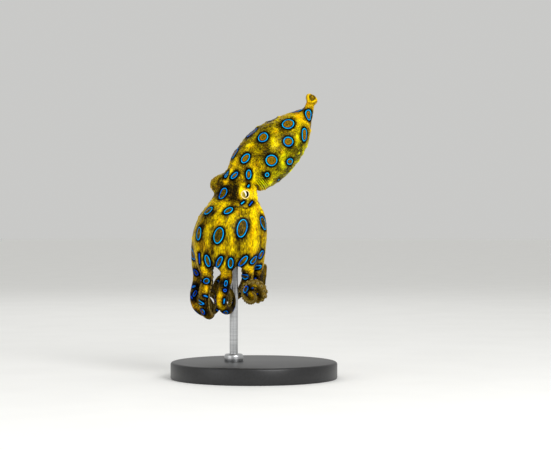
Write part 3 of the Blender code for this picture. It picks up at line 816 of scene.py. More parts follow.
# Where the picture shows the skin dark or bright: strokes as (column, row) to (column, row), half width, and
# how much, below 0 for dark. Besides the skin's own dark and bright patches they hold painted shade in
# creases, along outlines and in the gaps between the arms, and painted highlights where the skin faces the
# light, as down the bell's right side
shadeStrokes = [
    (235.5, 184, 235.5, 197, 3.9, -1.8), (229.5, 183, 230.5, 197, 4.2, -1.0),
    (230, 201, 240, 202, 3.0, -0.6), (241.4, 186.5, 240.4, 192.0, 1.7, 1.2),
    (240.4, 192.0, 241.2, 199.5, 1.1, 0.9), (218, 183, 216.5, 191, 6.5, -1.3),
    (217, 186, 215, 192, 1.6, 0.5), (212, 213, 204, 224, 4.6, -1.3), (213, 213, 216, 212, 2.6, -0.8),
    (202, 226, 202, 249, 1.8, -0.9), (212, 222, 211, 230, 2.0, -0.5), (212, 240, 212.5, 252, 1.8, -0.7),
    (238, 238, 240, 249, 3.0, -1.2), (242, 212, 249, 213, 2.6, -0.7), (228, 240, 226, 256, 2.2, -0.5),
    (249.5, 219, 250, 236, 1.4, -0.5), (235, 206.5, 247, 208, 1.3, -0.5), (247, 208, 253.5, 205, 1.1, -0.4),
    (261, 236, 261, 250, 1.2, -0.8), (264.5, 234, 264.5, 250, 2.0, -0.4), (261, 206, 262, 214, 1.4, -0.5),
    (196, 216, 200, 210, 1.6, 0.4), (262, 156, 268, 148, 4.5, -0.7), (291, 148, 296, 152, 4.5, -0.7),
    (279, 125, 282, 132, 3.5, -0.7), (298, 122, 302, 128, 3.0, -0.6), (240, 166, 238, 172, 3.0, -0.4),
    (252, 151, 256, 146, 3.0, -0.5), (262, 130, 270, 125, 3.0, -0.6), (265, 178, 262, 173, 2.6, -1.1),
    (247, 152, 243, 163, 2.5, -0.3), (258, 156, 256, 166, 3.5, -0.4), (303, 140, 297, 158, 3.4, -0.8),
    (292, 168, 284, 175, 3.4, -0.8), (278, 168, 286, 172, 3.0, -0.5), (280, 147, 279, 153, 3.0, -0.4),
    (281, 104, 262, 116, 2.4, -0.5), (252, 136, 243, 148, 2.6, -0.4), (254, 209, 257, 248, 4.2, 0.9),
    (232, 214, 231, 254, 3.0, 0.6), (209, 224, 208, 248, 2.6, 0.45), (192.5, 236, 192.5, 244, 1.6, 0.8),
    (224, 205, 213, 218, 1.8, 0.8), (222, 214, 221, 224, 2.2, 0.5), (247, 187, 253, 195, 4.5, 0.8),
    (253, 176, 255, 195, 2.6, 0.9), (254, 196, 250, 203, 2.2, 0.8), (248, 206, 238, 205, 1.6, 0.7),
    (255, 168, 252.5, 178, 2.2, 0.8), (242, 188, 241, 199, 1.8, 0.5), (236, 160, 231, 171, 1.8, 0.7),
    (230.5, 172, 226, 182, 2.3, 1.2), (247, 150, 252, 145, 2.5, 0.7), (272, 138, 275, 146, 3.0, 0.7),
    (283, 154, 281, 160, 3.0, 0.6), (299, 114, 300, 124, 3.2, 0.8), (308, 98, 307, 110, 1.6, 0.8),
    (298, 137, 296, 145, 2.0, 0.5), (204, 268, 209, 275, 3.0, 0.9), (221, 268, 224, 276, 3.2, 0.9),
    (239, 269, 250, 267, 2.6, 1.0), (251, 271, 259, 271, 1.6, 0.9), (233, 282, 238, 280, 2.6, 1.4),
    (221, 292, 219, 303, 2.0, 0.8), (206.5, 286, 206.5, 294, 2.2, 1.7), (196, 277, 198, 283, 2.0, 0.7),
    (249, 291, 252, 295, 1.8, 0.9), (256, 282, 255, 288, 1.6, 1.5), (250, 290, 250, 294, 1.8, 1.0),
    (217, 303, 222, 309, 2.4, 0.9), (197, 304, 204, 312, 1.8, 1.4), (222, 290, 219, 296, 2.0, 0.5),
    (262, 278, 263, 298, 4.0, -1.1), (214, 268, 214, 286, 1.8, -1.0), (230, 288, 231, 308, 4.5, -1.1),
    (208, 293, 209, 312, 4.2, -1.1), (194, 262, 195, 270, 1.6, 0.6), (243, 271, 247, 281, 3.0, -0.9),
    (196, 286, 198, 300, 3.0, -0.8), (222, 282, 221, 286, 2.4, -0.8), (200, 266, 200, 274, 1.6, -0.7),
    (250, 283, 246, 296, 3.0, -0.9), (231, 268, 233, 280, 1.8, -0.7), (219, 309, 224, 313, 2.4, -0.6),
]
# Raised bright spots in the picture, as (column, row, half width)
brightSpots = [
    (310.5, 130.7, 1.3), (306.5, 146.5, 1.4), (298.8, 161.1, 1.4), (290.3, 170.8, 1.5), (296.8, 136.8, 1.1),
    (298.8, 153.0, 1.2), (256.3, 197.5, 1.4), (260.3, 207.3, 1.4), (279.0, 117.0, 1.2), (248.6, 145.3, 1.2),
    (270.0, 183.0, 1.4), (303.0, 152.0, 1.0), (265.0, 121.5, 1.0), (258.0, 127.0, 1.0), (262.0, 212.0, 1.2),
    (196.0, 215.0, 1.2), (192.5, 238.0, 1.3), (257.0, 203.0, 1.1), (282.0, 163.0, 1.1), (293.0, 130.0, 1.0),
]
# Creases and folds in the picture: strokes laid out as the shade's, with a height in mm, below 0 for a groove
creaseStrokes = [
    (235, 206.5, 247, 208, 1.2, -0.24), (247, 208, 254, 204.5, 1.1, -0.2), (231, 170, 226, 182, 1.7, 0.35),
    (255, 168, 252.5, 178, 1.8, 0.22), (253.5, 178, 255, 197, 1.8, 0.22), (243, 203, 237, 204.5, 1.2, 0.14),
    (261, 207, 261.5, 250, 1.0, -0.3), (224, 205, 213, 218, 1.4, 0.15), (212, 240, 212.5, 254, 1.4, -0.2),
]


def toPixels(spots):
    scale = photo["distance"] / (photo["distance"] + spots[:, 1])
    x = photoMiddle.x + (spots[:, 0] - photoMiddle.x) * scale
    z = photoMiddle.z + (spots[:, 2] - photoMiddle.z) * scale
    column = photo["zeroColumn"] + x / photo["mmPerPixel"]
    return np.stack([column, photo["floorRow"] - z / photo["mmPerPixel"]], 1)


skinPixels = toPixels(spots)


def strokeSum(strokes):  # how much each point of the near side takes from the strokes
    total = np.zeros(len(spots))
    near = ease(-skinNormals[:, 1], 0.1, 0.4)
    for column, row, endColumn, endRow, half, much in strokes:
        total += much * hump(fromRun(skinPixels, (column, row), (endColumn, endRow)), half) * near
    return total


# What darkens or brightens the skin besides the strokes. Heights and places are in mm
shading = {
    "strokes": (-1.9, 1.6),  # their sum stays within this
    "spots": {"brighter": 1.9, "spread": 1.4},  # in half widths
    "furrows": {"darker": 0.45, "below": 61.0, "over": 16, "downTo": 38},
    "ridges": {"brighter": 0.25, "below": 58, "over": 6},  # along the arms, in the bell
    "freeArms": {"darker": 0.5, "underside": 0.6, "side": (-0.7, 0.1)},
    "mantleBack": {"darker": 0.3, "from": (4, 9), "to": (24, 30), "out": 4.0, "over": 6, "above": 70},
    "hollows": {"rounds": 12, "darker": 9.0, "most": 1.3, "from": (60.5, 62.5), "to": (5, 8)},
    "funnel": 1.1,  # how much paler it is than the skin round it
    "thin": (0.55, 0.9),  # shares of an arm over which its skin gets thin
}
spotLift = np.zeros(len(spots))
for column, row, half in brightSpots:
    away = np.linalg.norm(spots - skinAt(column, row)[0], axis=1)
    spotLift += hump(away, shading["spots"]["spread"] * half * photo["mmPerPixel"])
shade = np.clip(strokeSum(shadeStrokes), *shading["strokes"]) + shading["spots"]["brighter"] * spotLift
# Painted shade in the furrows between the arms on the bell's outside
zone = shading["furrows"]
furrowShade = between**2 * ease(zone["below"] - skinHeight, 0, zone["over"]) * (1 - insideBell)
shade -= zone["darker"] * furrowShade * (skinHeight > zone["downTo"])
zone = shading["ridges"]
ridgeShade = zone["brighter"] * (1 - between) * ease(zone["below"] - skinHeight, 0, zone["over"])
shade += ridgeShade * inBell * (1 - insideBell)
# The free arms are darker brown, and darker still towards their flanks and sucker side: painted shade
zone = shading["freeArms"]
shade -= freeArm * (zone["darker"] + zone["underside"] * ease(oralSide, *zone["side"]))
zone = shading["mantleBack"]
backShade = zone["darker"] * ease(upMantle, *zone["from"]) * (1 - ease(upMantle, *zone["to"]))
shade -= backShade * ease(zone["out"] - bellySide, 0, zone["over"]) * (skinHeight > zone["above"])
# Painted shade in the hollows where the head, the mantle and the funnel meet
zone = shading["hollows"]
hollow = ((relaxed(spots, edges, ones, zone["rounds"]) - spots) * skinNormals).sum(1)
hollowShade = np.clip(hollow * zone["darker"], 0, zone["most"]) * ease(skinHeight, *zone["from"])
shade -= hollowShade * (1 - ease(upMantle, *zone["to"]))
shade += shading["funnel"] * onFunnel
thin = ease(armShare, *shading["thin"]) * freeArm

# Relief: granules, low swellings, folds of the free rim, raised spots, the creases and the papilla's cup
relief = {
    "seed": 5,
    "granules": 3400,
    "granuleHeight": (0.04, 0.22),
    "granuleSpread": (0.38, 0.62),
    "granuleArms": 0.35,  # share of their height that is left on the arms
    "granuleFull": (55, 64),  # heights over which they reach the whole of it
    "ringCalm": 0.8,  # share of their height that a ring's line takes off
    "swelling": 0.1,
    "rimFold": 0.12,
    "rimFoldSpacing": 1.4,
    "rimShown": {"place": (262.0, 184.0), "reach": 6.5, "elsewhere": 0.15},  # where the picture has folds
    "spots": 0.32,
    "creasesFrom": (44, 48),
}
lift = np.zeros(len(spots))
random = np.random.default_rng(relief["seed"])
chosen = random.choice(len(spots), relief["granules"], replace=False)
left = relief["granuleArms"]
heights = random.uniform(*relief["granuleHeight"], len(chosen))
heights = heights * (left + (1 - left) * ease(skinHeight[chosen], *relief["granuleFull"]))
spreads = random.uniform(*relief["granuleSpread"], len(chosen))
granuleTree = KDTree(len(chosen))
for i, index in enumerate(chosen):
    granuleTree.insert(spots[index], i)
granuleTree.balance()
for i, spot in enumerate(spots):
    for _, k, away in granuleTree.find_n(spot, 3):
        lift[i] += heights[k] * math.exp(-((away / spreads[k]) ** 2))
lift *= 1 - relief["ringCalm"] * ease(0.9 - np.abs(ringMm), 0, 0.6)
waves = np.sin(spots @ np.array((0.9, 0.5, 0.7)) * 1.3) * np.sin(spots @ np.array((-0.5, 0.8, 0.9)) * 1.1)
lift += relief["swelling"] * waves * ease(skinHeight, 60, 66)
rimFolds = ease(7.5 - upMantle, 0, 4) * freeRim * (skinHeight > 64)
wander = 1.5 * np.sin(np.radians(mantleAngle * 5))
lift += relief["rimFold"] * np.sin(upMantle * math.tau / relief["rimFoldSpacing"] + wander) * rimFolds
shown = relief["rimShown"]
fromShown = np.linalg.norm(skinPixels - shown["place"], axis=1)
foldSpot = hump(fromShown, shown["reach"]) * (skinNormals[:, 1] < 0.2)
rimFolds = rimFolds * (shown["elsewhere"] + (1 - shown["elsewhere"]) * foldSpot) * (upMantle < 8)
lift += relief["spots"] * spotLift
lift += strokeSum(creaseStrokes) * ease(skinHeight, *relief["creasesFrom"])
fromCup = np.linalg.norm(skinPixels - papillaCup["place"], axis=1) / papillaCup["radius"]
cupFacing = ease(-skinNormals[:, 1], 0.1, 0.5) * (skinHeight > papillaCup["above"])
lift -= papillaCup["deep"] * ease(1.1 - fromCup, 0, 0.4) * cupFacing
lift += papillaCup["rim"] * hump(fromCup - 1.45, 0.3) * cupFacing
# Painted shade in the cup's groove and a little over its floor, and a painted highlight on its rim
cupLine = hump(fromCup - 0.95, 0.2) - 0.6 * hump(fromCup - 1.5, 0.35)
shade -= (1.4 * cupLine + 0.15 * ease(1.0 - fromCup, 0, 0.4)) * cupFacing

# Tints: greenish over the mantle and most on its belly side, warm at its tip and on the free arms
tint = {"belly": 0.55, "folds": 0.7, "mantle": 0.25, "tip": 0.35, "arms": 0.3}
onBelly = ease(bellySide, 0.0, 8.0) * ease(upMantle, 0.5, 3.0) * (1 - ease(upMantle, 22, 30))
greenish = onBelly * tint["belly"] + tint["folds"] * foldSpot
greenish = np.clip(greenish + tint["mantle"] * ease(upMantle, 4, 12), 0, 1)
greenish = greenish * ease(skinHeight, 66, 70) * (1 - ease(upMantle, 25, 31))
warmth = tint["tip"] * ease(upMantle, 27, 33) + tint["arms"] * freeArm

# Below the neck the pattern is squeezed in height, so that its patches lengthen down the arms
squeeze = {"from": 62.0, "over": 22.0, "share": 0.38}
spots = spots + skinNormals * lift[:, None]
moveSpots(skinMesh, spots)
patternMm = spots.copy()
low = np.minimum(spots[:, 2] - squeeze["from"], 0.0)
patternMm[:, 2] = np.maximum(spots[:, 2], squeeze["from"])
patternMm[:, 2] += np.maximum(low, -squeeze["over"]) * squeeze["share"]
patternMm[:, 2] += np.minimum(low + squeeze["over"], 0)
for name, numbers in (
    ("ringMm", ringMm), ("ringTone", ringTone), ("ringInside", ringInside), ("shade", shade), ("oral", oral),
    ("thin", thin), ("patternMm", patternMm), ("liftMm", lift), ("rimFolds", rimFolds),
    ("greenish", greenish), ("warmth", warmth),
):
    storeNumbers(skinMesh, name, numbers)
print("skin painted")


def cutSocket(mesh, eye):  # points over the eye are pressed back behind the eyeball
    look = np.array(facing(eye["around"], eye["up"]))
    centre = np.array(eye["centre"]) + look * eyeShape["forward"]
    spots = meshSpots(mesh)
    away = spots - centre
    forward = away @ look
    aside = away - forward[:, None] * look
    distance = np.linalg.norm(aside, axis=1)
    nearest, furthest = eyeShape["openingSpan"]
    inside = (distance < eyeShape["opening"]) & (forward > nearest) & (forward < furthest)
    back = -np.sqrt(np.clip(eyeShape["socket"] ** 2 - distance**2, 0, None))
    share = ease(eyeShape["opening"] - distance, 0, eyeShape["openingSoft"])
    spots[inside] += ((back - forward) * share)[inside, None] * look
    moveSpots(mesh, spots)


for eye in eyes.values():
    cutSocket(skinMesh, eye)


def linear(hexColour):  # sRGB hex to the renderer's linear values
    parts = [int(hexColour[i:i + 2], 16) / 255 for i in (1, 3, 5)]
    return [part / 12.92 if part <= 0.04045 else ((part + 0.055) / 1.055) ** 2.4 for part in parts] + [1.0]


def addNode(tree, kind, inputs=None, stops=None, **settings):
    node = tree.nodes.new(kind)
    for name, value in settings.items():
        setattr(node, name, value)
    for key, value in (inputs or {}).items():
        if isinstance(value, bpy.types.NodeSocket):
            tree.links.new(value, node.inputs[key])
        else:
            node.inputs[key].default_value = value
    if stops:
        ramp = node.color_ramp
        while len(ramp.elements) < len(stops):
            ramp.elements.new(0.5)
        for element, (place, colour) in zip(ramp.elements, stops):
            element.position = place
            element.color = linear(colour)
    return node


def newMaterial(name, constants):
    made = bpy.data.materials.new(name)
    made.use_nodes = True
    shader = made.node_tree.nodes["Principled BSDF"]
    for key, value in constants.items():
        shader.inputs[key].default_value = value
    return made, made.node_tree, shader


def mottledBase(tree, shader, scale, detail, stops):  # a base colour varied by a noise, which it hands back
    place = addNode(tree, "ShaderNodeTexCoord").outputs["Object"]
    inputs = {"Vector": place, "Scale": scale, "Detail": detail}
    noise = addNode(tree, "ShaderNodeTexNoise", inputs).outputs["Fac"]
    colour = addNode(tree, "ShaderNodeValToRGB", {"Fac": noise}, stops=stops).outputs["Color"]
    tree.links.new(colour, shader.inputs["Base Color"])
    return noise


skinLook = {
    "stops": [
        (0.0, "#150F00"), (0.18, "#403200"), (0.36, "#6C5800"), (0.54, "#9A8200"), (0.72, "#CCAE00"),
        (0.88, "#F0CE00"), (1.0, "#FFE400"),
    ],
    "scales": {"patch": 0.28, "mottle": 0.9, "speck": 2.2, "gold": 0.4},  # 0.28 gives patches 3.5 mm across
    "level": -0.795,
    # Of these, shade carries pigment patches together with painted shade and painted highlights, liftMm is a
    # painted highlight on raised skin and painted shade in its grooves, and folds is painted shade and
    # highlight across the free rim's fine folds
    "amounts": {
        "patch": 0.8, "mottle": 0.7, "speck": 1.3, "shade": 0.3, "liftMm": 0.5, "near": -0.2, "folds": 0.36,
    },
    "blue": ("#08C0FC", "#0046D2"),
    "outline": "#020200",
    "inside": ["#B87400", "#7C6200", "#3A2E00"],  # from gold to dark
    "greenish": "#D6FF60",
    "warm": "#FFD68A",
    "oral": ("#3C2F06", "#806822"),
    "thin": "#64500E",
    "foldSpacing": 0.66,  # mm between the folds of the mantle's free rim
    "grain": 2.2,
    "bump": {"Strength": 0.35, "Distance": 0.00012},
    "constants": {
        "Roughness": 0.42,
        "IOR": 1.4,
        "Specular IOR Level": 0.04,
        "Coat Weight": 0.02,
        "Coat Roughness": 0.14,
        "Subsurface Weight": 0.06,
        "Subsurface Radius": (1.0, 0.55, 0.15),
        "Subsurface Scale": 0.0006,
    },
}


# Moist octopus skin: soft, with a faint wet sheen, pigment in patches and specks along with painted shade and
# highlights, and bright blue rings
def skinMaterial():
    made, tree, shader = newMaterial("moist octopus skin", skinLook["constants"])
    pattern = addNode(tree, "ShaderNodeAttribute", attribute_name="patternMm").outputs["Vector"]
    at = {}
    for name in (
        "ringMm", "ringTone", "ringInside", "shade", "liftMm", "rimFolds", "greenish", "warmth", "thin",
        "oral",
    ):
        at[name] = addNode(tree, "ShaderNodeAttribute", attribute_name=name).outputs["Fac"]
    for name, scale in skinLook["scales"].items():
        inputs = {"Vector": pattern, "Scale": scale, "Detail": 3.0, "Roughness": 0.6}
        at[name] = addNode(tree, "ShaderNodeTexNoise", inputs).outputs["Fac"]
    half = ringLine["halfWidth"]
    at["fromLine"] = addNode(tree, "ShaderNodeMath", {0: at["ringMm"]}, operation="ABSOLUTE").outputs[0]
    for name, source, low, high, start, stop in (
        ("near", "ringMm", 0.6, 2.6, 1.0, 0.0),
        ("outer", "ringMm", 0.5, 1.35, 1.0, 0.0),
        ("inner", "ringMm", -0.72, -0.26, 0.0, 1.0),
        ("within", "ringMm", -0.1, -0.2, 0.0, 1.0),
        ("middle", "ringMm", -0.3, -1.3, -1.4, -0.95),
        ("line", "fromLine", half - 0.05, half + 0.07, 1.0, 0.0),
        ("golden", "gold", 0.47, 0.65, 0.0, 0.6),
    ):
        inputs = {"Value": at[source], "From Min": low, "From Max": high, "To Min": start, "To Max": stop}
        ranged = addNode(tree, "ShaderNodeMapRange", inputs, interpolation_type="SMOOTHSTEP")
        at[name] = ranged.outputs["Result"]
    # The free rim's fine folds, too fine for the mesh, drawn as stripes of painted shade and painted
    # highlight
    axis = tuple(mantleAxis)
    upAxis = addNode(tree, "ShaderNodeVectorMath", {0: pattern, 1: axis}, operation="DOT_PRODUCT")
    at["upAxis"] = upAxis.outputs["Value"]
    for name, operation, values in (
        ("turns", "MULTIPLY", ("upAxis", math.tau / skinLook["foldSpacing"])),
        ("waves", "SINE", ("turns",)),
        ("folds", "MULTIPLY", ("waves", "rimFolds")),
        ("outline", "MULTIPLY", ("outer", "inner")),
        ("inwards", "MULTIPLY_ADD", ("ringInside", 0.7, "middle")),
        ("inwards", "ADD", ("inwards", "mottle")),
        ("inwards", "MULTIPLY_ADD", ("speck", 1.9, "inwards")),
        ("deep", "SUBTRACT", ("ringTone", 1.3)),
        ("deep", "MULTIPLY_ADD", ("mottle", 2.9, "deep")),
        ("thinned", "MULTIPLY", ("thin", 0.5)),
        ("warmed", "ADD", ("golden", "warmth")),
    ):
        inputs = {i: at.get(value, value) for i, value in enumerate(values)}
        at[name] = addNode(tree, "ShaderNodeMath", inputs, operation=operation).outputs[0]
    value = skinLook["level"]
    for name, amount in skinLook["amounts"].items():
        inputs = {0: at[name], 1: amount, 2: value}
        value = addNode(tree, "ShaderNodeMath", inputs, operation="MULTIPLY_ADD").outputs[0]
    base = addNode(tree, "ShaderNodeValToRGB", {"Fac": value}, stops=skinLook["stops"]).outputs["Color"]
    under = list(zip((0.3, 0.7), skinLook["oral"]))
    under = addNode(tree, "ShaderNodeValToRGB", {"Fac": at["mottle"]}, stops=under).outputs["Color"]
    inside = list(zip((0.1, 0.5, 0.9), skinLook["inside"]))
    inner = addNode(tree, "ShaderNodeValToRGB", {"Fac": at["inwards"]}, stops=inside).outputs["Color"]
    bright, dark = (linear(colour) for colour in skinLook["blue"])
    blue = addNode(tree, "ShaderNodeMix", {0: at["deep"], 6: bright, 7: dark}, data_type="RGBA").outputs[2]
    for mask, colour, blend in (
        ("greenish", linear(skinLook["greenish"]), "MULTIPLY"),
        ("warmed", linear(skinLook["warm"]), "MULTIPLY"),
        ("thinned", linear(skinLook["thin"]), "MIX"),
        ("oral", under, "MIX"),
        ("within", inner, "MIX"),
        ("outline", linear(skinLook["outline"]), "MIX"),
        ("line", blue, "MIX"),
    ):
        inputs = {0: at[mask], 6: base, 7: colour}
        base = addNode(tree, "ShaderNodeMix", inputs, data_type="RGBA", blend_type=blend).outputs[2]
    tree.links.new(base, shader.inputs["Base Color"])
    inputs = {"Vector": pattern, "Scale": skinLook["grain"]}
    grain = addNode(tree, "ShaderNodeTexVoronoi", inputs, feature="SMOOTH_F1").outputs["Distance"]
    inputs = {0: grain, 1: -0.5, 2: at["mottle"]}
    height = addNode(tree, "ShaderNodeMath", inputs, operation="MULTIPLY_ADD").outputs[0]
    bump = addNode(tree, "ShaderNodeBump", {"Height": height, **skinLook["bump"]}).outputs["Normal"]
    tree.links.new(bump, shader.inputs["Normal"])
    return made


fleshNodes = [
    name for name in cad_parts
    if name.startswith(("arm_", "web_")) or name in ("head", "mantle", "mantle_tip", "funnel")
]
finishPiece("skin", skinMesh, skinMaterial(), fleshNodes)
print("skin placed")

# The suckers, in two rows under each arm to its tip
suckers = {
    "profile": [(0.7, -0.6), (1.0, 0.3), (0.78, 0.5), (0.0, 0.05)],  # radius and height, in rim radii
    "sides": 8,
    "size": 0.36,  # rim radius in arm radii
    "least": 0.19,
    "pitch": 2.35,  # from one to the next in a row, in rim radii
    "rowAngle": 31.0,
    "sunk": 0.97,
    "span": (0.06, 0.99),  # shares of an arm between which they stand
}


def buildSuckers():
    one = bmesh.new()
    tag = one.verts.layers.float.new("rimShare")
    row = [one.verts.new((radius, 0.0, height)) for radius, height in suckers["profile"]]
    for vert, (radius, height) in zip(row, suckers["profile"]):
        vert[tag] = radius if height > 0.1 else 0.0
    spinRow(one, row, suckers["sides"])
    cup = meshOf("cup", one)
    whole = bmesh.new()
    for line in armLines.values():
        share, last = suckers["span"]
        side = 1
        while share < last:
            at = np.array([share])
            radius = lineAt(line, "radius", at)[0]
            rim = max(suckers["size"] * radius, suckers["least"])
            spot, along, oral = (Vector(lineAt(line, key, at)[0]) for key in ("spots", "along", "oral"))
            angle = math.radians(suckers["rowAngle"]) * side
            out = (oral * math.cos(angle) + along.cross(oral) * math.sin(angle)).normalized()
            first = along.normalized()
            first = (first - out * first.dot(out)).normalized()
            turn = Matrix((first, out.cross(first), out)).transposed().to_4x4()
            foot = spot + out * radius * arms["oralFlat"] * suckers["sunk"]
            place = Matrix.Translation(foot) @ turn @ Matrix.Scale(rim, 4)
            before = len(whole.verts)
            whole.from_mesh(cup)
            whole.verts.ensure_lookup_table()
            bmesh.ops.transform(whole, matrix=place, verts=whole.verts[before:])
            side = -side
            share += suckers["pitch"] * rim / 2 / arms["length"]
    bpy.data.meshes.remove(cup)
    return meshOf("suckers", whole)


def suckerMaterial():  # soft translucent flesh, paler on the rims
    made, tree, shader = newMaterial("olive sucker flesh", {
        "Roughness": 0.45, "Specular IOR Level": 0.25, "Coat Weight": 0.05, "Coat Roughness": 0.2,
        "Subsurface Weight": 0.12, "Subsurface Radius": (1.0, 0.6, 0.2), "Subsurface Scale": 0.0006,
    })
    rim = addNode(tree, "ShaderNodeAttribute", attribute_name="rimShare").outputs["Fac"]
    place = addNode(tree, "ShaderNodeTexCoord").outputs["Object"]
    inputs = {"Vector": place, "Scale": 700.0, "Detail": 2.0}
    noise = addNode(tree, "ShaderNodeTexNoise", inputs).outputs["Fac"]
    value = addNode(tree, "ShaderNodeMath", {0: noise, 1: 0.5, 2: -0.25}, operation="MULTIPLY_ADD").outputs[0]
    value = addNode(tree, "ShaderNodeMath", {0: rim, 1: value}, operation="ADD").outputs[0]
    colour = addNode(tree, "ShaderNodeValToRGB", {"Fac": value}, stops=[
        (0.1, "#3A2E08"), (0.6, "#6C581A"), (0.95, "#907C38"),
    ]).outputs["Color"]
    tree.links.new(colour, shader.inputs["Base Color"])
    return made


finishPiece("suckers", buildSuckers(), suckerMaterial())
print("suckers placed")

# The eyeballs and lids
eyeLook = {
    "slit": {"outer": 1.27, "deep": 0.82, "middle": -6.0, "reach": 84.0},  # a crescent: mm and degrees
    "gleam": [(-0.65, 1.25), (-0.2, 0.85), (0.12, 0.15), (0.24, -0.5)],  # a painted highlight: the white streak beside it
    "gleamHalf": 0.19,
    "lidForward": 3.04,
    "lidRadius": 1.55,
    "lidAcross": 0.25,
    "lidDeep": 0.22,
    "lidSlope": 0.3,  # how far the outer edge falls back
    "lidFolds": 17,
    "lidFoldDeep": 0.06,
    "lidGrid": (96, 20),
}


def eyeFrame(eye):
    look = Vector(facing(eye["around"], eye["up"])).normalized()
    right = Vector((-look.y, look.x, 0.0)).normalized()  # the picture's, for an eye that faces the camera
    return look, right, right.cross(-look).normalized()


def buildEyeball(name, eye):
    look, right, up = eyeFrame(eye)
    centre = Vector(eye["centre"]) + look * eyeShape["forward"]
    bm = bmesh.new()
    across, down = eyeShape["ballGrid"]
    bmesh.ops.create_uvsphere(bm, u_segments=across, v_segments=down, radius=eyeShape["ball"])
    mesh = meshOf(name, bm)
    local = meshSpots(mesh)
    aside, high, forward = local[:, 0] * eye["bow"], local[:, 1], local[:, 2]
    slit = eyeLook["slit"]
    away = np.hypot(aside, high)
    turned = (np.degrees(np.arctan2(high, aside)) - slit["middle"]) / slit["reach"]
    deep = slit["deep"] * np.sqrt(np.clip(1 - turned**2, 0, 1))
    dark = np.maximum(away - slit["outer"], slit["outer"] - deep - away) + (np.abs(turned) > 1)
    flat = np.stack([aside, high], 1)
    # A painted highlight: the white streak laid on the eyeball beside the slit
    runs = zip(eyeLook["gleam"], eyeLook["gleam"][1:])
    gleam = np.min([fromRun(flat, start, stop) for start, stop in runs], axis=0)
    storeNumbers(mesh, "slitMm", np.where(forward > 0, dark, 2.0))
    storeNumbers(mesh, "paintedGleamMm", np.where(forward > 0, gleam - eyeLook["gleamHalf"], 2.0))
    storeNumbers(mesh, "irisMm", np.where(forward > 0, away, 2.5))
    turn = Matrix((right, up, look)).transposed().to_4x4()
    mesh.transform(Matrix.Translation(centre) @ turn)
    return mesh


def eyeMaterial():  # a wet eyeball: clear coat over an olive and gold iris with a painted highlight streak and a dark slit
    made, tree, shader = newMaterial("wet eyeball", {
        "Roughness": 0.3, "Coat Weight": 0.12, "Coat Roughness": 0.04, "IOR": 1.38,
        "Specular IOR Level": 0.04,
    })
    place = addNode(tree, "ShaderNodeTexCoord").outputs["Object"]
    inputs = {"Vector": place, "Scale": 2600.0, "Detail": 2.0}
    noise = addNode(tree, "ShaderNodeTexNoise", inputs).outputs["Fac"]
    iris = addNode(tree, "ShaderNodeAttribute", attribute_name="irisMm").outputs["Fac"]
    value = addNode(tree, "ShaderNodeMath", {0: noise, 1: 0.5, 2: iris}, operation="MULTIPLY_ADD").outputs[0]
    value = addNode(tree, "ShaderNodeMath", {0: value, 1: 0.5}, operation="MULTIPLY").outputs[0]
    base = addNode(tree, "ShaderNodeValToRGB", {"Fac": value}, stops=[
        (0.3, "#8C7A14"), (0.6, "#A8921E"), (0.78, "#D8C46A"), (0.9, "#FFF0C8"),
    ]).outputs["Color"]
    for name, low, high, colour in (("paintedGleamMm", -0.08, 0.08, "#FFFDF2"), ("slitMm", -0.02, 0.08, "#040404")):
        at = addNode(tree, "ShaderNodeAttribute", attribute_name=name).outputs["Fac"]
        mask = addNode(tree, "ShaderNodeMapRange", {
            "Value": at, "From Min": low, "From Max": high, "To Min": 1.0, "To Max": 0.0,
        }, interpolation_type="SMOOTHSTEP").outputs["Result"]
        inputs = {0: mask, 6: base, 7: linear(colour)}
        base = addNode(tree, "ShaderNodeMix", inputs, data_type="RGBA").outputs[2]
    tree.links.new(base, shader.inputs["Base Color"])
    return made


def buildLid(name, eye):  # a fleshy ring with fine radial folds
    look, right, up = eyeFrame(eye)
    middle = Vector(eye["centre"]) + look * eyeLook["lidForward"]

    def place(u, v):
        around, section = math.tau * u, math.tau * v
        fold = eyeLook["lidFoldDeep"] * np.sin(around * eyeLook["lidFolds"])
        fold = 1 + fold * ease(np.cos(section), -0.2, 0.8)
        radius = eyeLook["lidRadius"] + np.cos(section) * eyeLook["lidAcross"] * fold
        slope = eyeLook["lidSlope"] * ease(np.cos(section), 0.0, 1.0)
        forward = np.sin(section) * eyeLook["lidDeep"] * fold - slope
        flat = np.outer(radius * np.cos(around), right) + np.outer(radius * np.sin(around), up)
        return np.array(middle) + flat + np.outer(forward, look)

    mesh = meshOf(name, mappedGrid(*eyeLook["lidGrid"], place))
    away = meshSpots(mesh) - np.array(middle)
    aside = away - np.outer(away @ np.array(look), look)
    margin = eyeLook["lidRadius"] - eyeLook["lidAcross"]
    storeNumbers(mesh, "marginMm", np.linalg.norm(aside, axis=1) - margin)
    storeNumbers(mesh, "lidTone", np.full(len(away), eye["lidTone"]))
    return mesh


